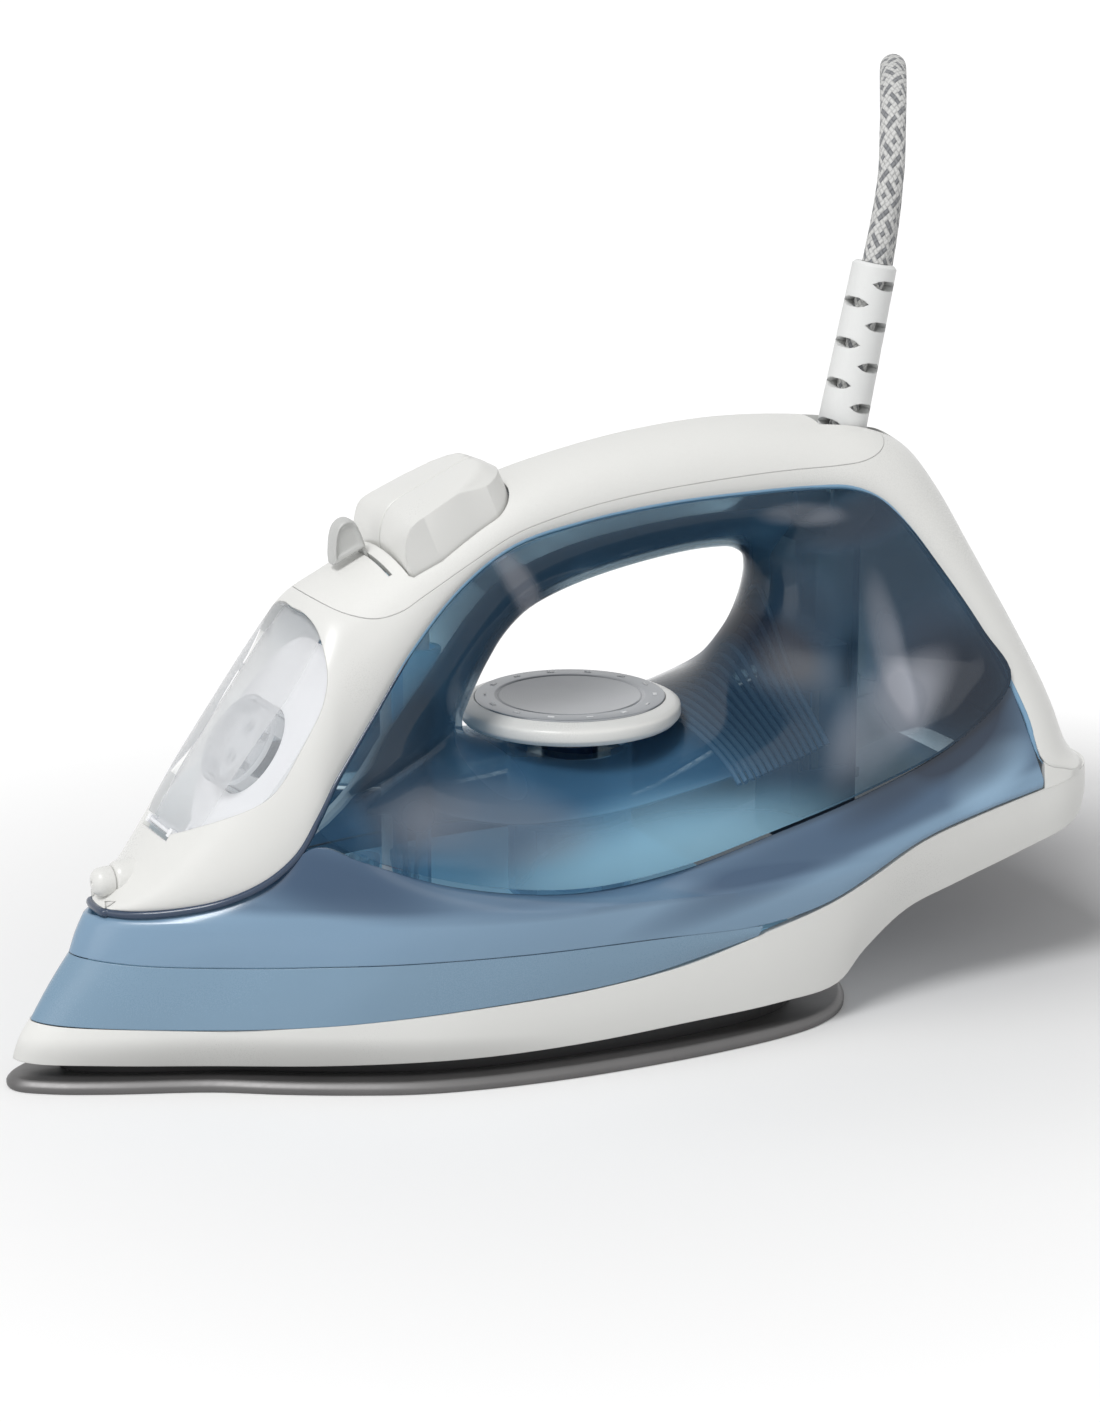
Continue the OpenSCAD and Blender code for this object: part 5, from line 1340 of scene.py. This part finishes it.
def key_height(u, v):
    """A flat crown that rolls down in front; its rounded edge opens into a wide chamfer at the back."""
    crown = KEY_HEIGHT - CROWN + sqrt(CROWN ** 2 - v * v)
    top = softer(crown, float(np.interp(u, along_key[:, 0], along_key[:, 2])), 1.6)
    out = from_rim(u, v)
    t = min(max((u - 4) / 12, 0.0), 1.0)
    back_share = t * t * (3 - 2 * t)
    rise = EDGE_ROUND * sqrt(max(1 - (1 - min(out / EDGE_ROUND, 1.0)) ** 2, 0.0))
    round_edge = 8.1 - EDGE_ROUND + rise + 3.0 * max(out - EDGE_ROUND, 0.0)
    chamfer = 4.6 + 1.05 * out
    h = softer(top, round_edge * (1 - back_share) + chamfer * back_share, 0.5)
    inner = max(1 - (v - KEY_GAP / 2) / 0.45, 0.0)
    return h - 0.4 * inner * inner


KEY_FOOT, KEY_MIDDLE = -7.0, np.array([4.0, 8.0])
INWARD = (0, 0.008, 0.02, 0.04, 0.065, 0.095, 0.13, 0.17, 0.22, 0.28, 0.35, 0.43, 0.52, 0.62, 0.74, 0.87)


def key_mesh(name, s):
    """Rings that shrink from the rim to the middle, each point lifted to the key's height."""
    outline = [(u, max(v, KEY_GAP / 2)) for u, v in flank[:2] + rounded + flank[-1:]]
    dense = []
    for (a, b), (c, d) in zip(outline, outline[1:] + outline[:1]):
        cuts = max(1, int(np.hypot(c - a, d - b) / 0.7))
        dense += [(a + (c - a) * k / cuts, b + (d - b) * k / cuts) for k in range(cuts)]
    ring, n = np.array(dense), len(dense)
    rows = [[(u, v, KEY_FOOT) for u, v in ring]]
    for t in INWARD:
        smaller = ring * (1 - t) + KEY_MIDDLE * t
        rows.append([(u, v, max(key_height(u, v), KEY_FOOT + 0.25)) for u, v in smaller])
    verts = [(u, s * v, w) for row in rows for u, v, w in row]
    verts.append((KEY_MIDDLE[0], s * KEY_MIDDLE[1], key_height(*KEY_MIDDLE)))
    last = (len(rows) - 1) * n
    faces = [range(n)] + ladder(len(rows), n)
    faces += [(last + k, last + (k + 1) % n, len(verts) - 1) for k in range(n)]
    return solid(name, verts, faces, deck_place)


for name, s, node, body in (("spray_key_cap", -1, "spray_button", "spray_key"),
                            ("steam_key_cap", 1, "steam_button", "steam_key")):
    settle(key_mesh(name, s), white, body, "white_plastic", (node,), 40)

# %% [markdown]
# ## Steam lever
# A flat paddle leans back over the deck, thick enough to push with a thumb. Its side view
# is one closed spline; the two flanks are drawn in step by step, so the rim is round.

# %% Lever
paddle_line = [(-8.0, 2.0), (-7.5, 3.6), (-6.2, 6.3), (-4.7, 8.8), (-2.9, 10.6), (-0.8, 11.2), (0.9, 10.7),
               (1.8, 9.2), (2.0, 6.5), (1.9, 3.8), (1.7, 2.0)]
PADDLE_FOOT, STEM = 2.0, 0.35
side_view = np.array(spline([(u, 0, n) for u, n in paddle_line], 5))[:, [0, 2]]
middle = side_view.mean(0)
half_rings = [(1.75, 0.52), (1.8, 0.62), (2.05, 0.70), (2.45, 0.77), (2.6, 0.83), (2.5, 0.90), (2.15, 0.96),
              (1.5, 0.99), (0, 1.0)]
rings = []
for v, grow in [(-v, g) for v, g in half_rings] + half_rings[-2::-1]:
    ring = middle + (side_view - middle) * grow
    ring[:, 1] = np.maximum(ring[:, 1], PADDLE_FOOT)
    rings.append([(u + LEVER, v, w) for u, w in ring])
paddle = stack("steam_paddle", rings, deck_place)
near_x, far_x = LEVER + 1 - STEM, LEVER + 1 + STEM
stem = column("stem", [(near_x, -2), (far_x, -2), (far_x, 2), (near_x, 2)], -14, 3.0, deck_place)
cut(paddle, stem, "UNION")

# %% Lever hub
HUB_RADIUS, HUB_BORE, AXLE = 3.4, 1.56, -16
hub_place = deck_place @ Matrix.Translation((0, 0, AXLE)) @ Matrix.Rotation(pi / 2, 4, "Y")
hub = column("hub", disc(HUB_RADIUS), -23, -16.6, hub_place)
cut(hub, column("bore", disc(HUB_BORE), -24, -15, hub_place))
cut(paddle, hub, "UNION")
settle(paddle, pale_grey, "lever", "grey_plastic", ("steam_lever",), 45)

# %% [markdown]
# ## Spray nozzle
# A small white knob on the nose, domed like a pearl, with a fine bore for the spray. It
# sits in a collar that rises a little from the shell. Both are turned on one tilted axis.

# %% Nozzle
NOZZLE_TILT = radians(92)
nozzle_place = Matrix.Translation((TIP - 29.5, 0, 51)) @ Matrix.Rotation(NOZZLE_TILT, 4, "Y")
knob = [(0.5, -9), (2.5, -9), (2.5, 0), (3.4, 0), (3.75, 0.25), (3.8, 0.7), (3.8, 2.6), (3.7, 3.4),
        (3.4, 4.2), (2.9, 4.8), (2.2, 5.25), (1.4, 5.5), (0.7, 5.58), (0.55, 5.4), (0.5, 5.0)]
nozzle = lathe("spray_knob", knob, 64, nozzle_place)
settle(nozzle, white, "iron", "white_plastic", ("spray_nozzle",), 45)
collar = [(2.6, -7.5), (5.0, -7.5), (4.9, -3.4), (4.75, -1.6), (4.45, -0.6), (3.95, -0.15), (3.3, -0.05),
          (2.6, -0.05)]
settle(lathe("nozzle_collar", collar, 64, nozzle_place), white, "iron", "white_plastic", (), 45)

# %% [markdown]
# ## Ribs, grown
# The tree turns each marked line into a curve, spaces its points evenly and sweeps a small
# circle along it.

# %% Ribs, grown
rib_tree = Tree("tank_ribs", Radius=0.00075, Sides=8)
as_curve = rib_tree.node("GeometryNodeMeshToCurve", {0: rib_tree.size("Geometry")})
smooth_line = rib_tree.node("GeometryNodeResampleCurve", {"Curve": as_curve, "Count": 26})
round_rib = rib_tree.node("GeometryNodeCurvePrimitiveCircle", {
    "Resolution": rib_tree.size("Sides"), "Radius": rib_tree.size("Radius")})
rib_mesh = rib_tree.node("GeometryNodeCurveToMesh", {
    "Curve": smooth_line, "Profile Curve": round_rib, "Fill Caps": True})
rib_tree.finish(rib_mesh, rib_blue)
ribs = turned_outward(rib_tree.grow(line_marks("tank_ribs", ribs_both)))
settle(ribs, rib_blue, "iron", "clear_blue", (), 60)

# %% [markdown]
# ## Lips along the seams
# Where the tank meets the white shell its moulding ends in a thin lip. Under the nose it is
# painted dark blue, a painted shade for the shadowed recess under the white shell: one tube
# that runs up one side, round the front and down the other. Along the grip and the heel it
# is light blue: two tubes, thinner at their ends.

# %% Lips
CUTS = 6


def from_ends(points, run):
    """For each point of a line its share of the way in from the nearer end, 0 to 1 over a run of points."""
    k = np.arange(len(points))
    return np.minimum(k, k[::-1]) / run


# The dark blue under the nose is a painted shade, for the shadowed recess under the white shell.
shaded_lip = moulded("shaded_lip", rgb(38, 58, 84), 0.2, 0.3, 0.00001, 0.3)
edge_path = spline(at(edge), CUTS)
under_nose = edge_path[1:10 * CUTS + 1]
round_nose = np.concatenate([under_nose[::-1], arch_skin[0], under_nose * MIRROR])
nose_radius = 0.2 + 0.9 * np.clip(from_ends(round_nose, 60.0), 0.0, 1.0) ** 0.45
nose_lip = tube("nose_lip", round_nose + np.array([0.15, 0.0, -0.75]), nose_radius, 12)
settle(turned_outward(nose_lip), shaded_lip, "iron", "dark_blue", (), 60)

light_lip = moulded("light_lip", rgb(120, 160, 190), 0.2, 0.3, 0.00001, 0.3)
grip_path = edge_path[9 * CUTS:23 * CUTS + 1] + np.array([0.25, -0.55, -0.45])
grip_radius = 0.8 * np.clip(from_ends(grip_path, 4.0), 0.15, 1.0)
lip, other = [tube(name, path, grip_radius, 10)
              for name, path in (("grip_lip", grip_path), ("other_lip", grip_path * MIRROR))]
bm = bmesh.new()
for ob in (lip, other):
    bm.from_mesh(ob.data)
bm.to_mesh(lip.data)
bm.free()
bpy.data.objects.remove(other)
settle(turned_outward(lip), light_lip, "iron", "blue_plastic", (), 60)

# %% [markdown]
# ## Finishes for the works inside
# The rest of the construction shows through the clear tank or is hidden in the base. Its
# shapes are right as they stand, so each node only gets a finish of the right kind.

# %% Finishes of the construction's own nodes
def two_tones(f, colour, size, share):
    wide = f.noise(size)
    return wide, f.blend(wide, darker(colour, share), colour)


def metal(name, colour, rough, grain=0.0006, stretch=(1, 1, 1)):
    f = Finish(name)
    fine = f.noise(grain, 3.0, f.place(stretch))
    tint = two_tones(f, colour, 0.02, 0.86)[1]
    roughness = (rough + (fine - 0.5) * 0.2).clamp()
    return f.done(f.surface(base_color=tint, metallic=1.0, roughness=roughness,
                            normal=f.bump(fine, 0.00002)))


def lit_within(name, colour, rough, glow):
    """Plastic inside the tank, with a painted glow for the light that has bounced about in the clear walls
    and reaches it.
    """
    f = Finish(name)
    wide, tint = two_tones(f, colour, 0.03, 0.85)
    return f.done(f.surface(base_color=tint, roughness=(rough + (wide - 0.5) * 0.2).clamp(),
                            emission_color=tint, emission_strength=glow))


cast = metal("cast_aluminium", rgb(165, 166, 168), 0.48, 0.0009)
bright = metal("bright_steel", rgb(196, 197, 200), 0.22, 0.0005, (0.1, 1, 1))
dark_steel = metal("dark_steel", rgb(92, 92, 96), 0.42)
black = moulded("black_shield", rgb(26, 26, 28), 0.42, 0.4, 0.00003)
steatite = moulded("steatite", rgb(228, 220, 200), 0.6, 0.8)
inner_blue = lit_within("inner_blue", rgb(150, 196, 222), 0.35, 0.22)
works_blue = moulded("works_blue", rgb(30, 48, 70), 0.3)
navy = moulded("navy_hub", rgb(26, 44, 74), 0.18, 0.3, 0.00001, 0.3)
rubber = moulded("red_rubber", rgb(150, 40, 34), 0.62, 0.5, 0.00005)
sleeve = moulded("lead_sleeve", rgb(176, 150, 120), 0.7, 0.9, 0.00005)
strap = moulded("tie_strap", rgb(60, 62, 66), 0.5)
plug_grey = moulded("plug_plastic", rgb(206, 207, 208), 0.45, 0.5, 0.00004)
guard_white = moulded("guard_white", rgb(232, 233, 232), 0.48, 0.5, 0.00003)
inner_white = lit_within("inner_white", rgb(214, 218, 222), 0.4, 0.12)
tray_white = lit_within("tray_white", rgb(222, 223, 225), 0.4, 0.3)

# %% Finishes given out
finishes = {
    cast: ["heater_casting", "chamber_cover"],
    bright: ["cover_screws", "heel_screws", "thermostat_shaft", "element_terminals", "plug_pins",
             "spray_spring", "steam_spring"],
    dark_steel: ["heating_element"],
    black: ["heat_shield"],
    steatite: ["thermostat", "thermal_fuse"],
    inner_blue: ["tank_floor", "pump_block"],
    works_blue: ["control_chassis", "rear_chassis", "guard_cradle", "terminal_block"],
    navy: ["dial_bush"],
    rubber: ["valve_seat"],
    sleeve: ["mains_leads"],
    strap: ["cord_tie"],
    plug_grey: ["plug_body"],
    guard_white: ["cord_guard"],
    tray_white: ["inlet_tray", "door_pin"],
    inner_white: ["heel_floor", "spray_plunger", "steam_plunger", "lever_post", "valve_rod", "spray_hose"],
    tube_clear: ["suction_tubes", "dial_well"],
    funnel_clear: ["fill_funnel"],
    lamp_blue: ["pilot_lamp"],
}
for finish, names in finishes.items():
    for n in names:
        for s in nodes[n].material_slots:
            s.material = finish
        if not nodes[n].material_slots:
            nodes[n].data.materials.append(finish)
done = {n for names in finishes.values() for n in names}
print("nodes without a finish of their own:", sorted(set(nodes) - done))

# %% [markdown]
# ## Cord inside the guard
# Between the guard's ribs the same woven sleeve shows. It gets its own tube, because it
# swings with the guard, while the free cord outside follows the guard only at its start.

# %% Core of the guard
core_path = [guard_foot + t * guard_axis for t in np.linspace(-6, GUARD_LENGTH - 0.1, 24)]
core = tube("guarded_cord", core_path, CORD_RADIUS)
settle(core, cotton, "guard", "cord_braid", ("cord_core",), 60)
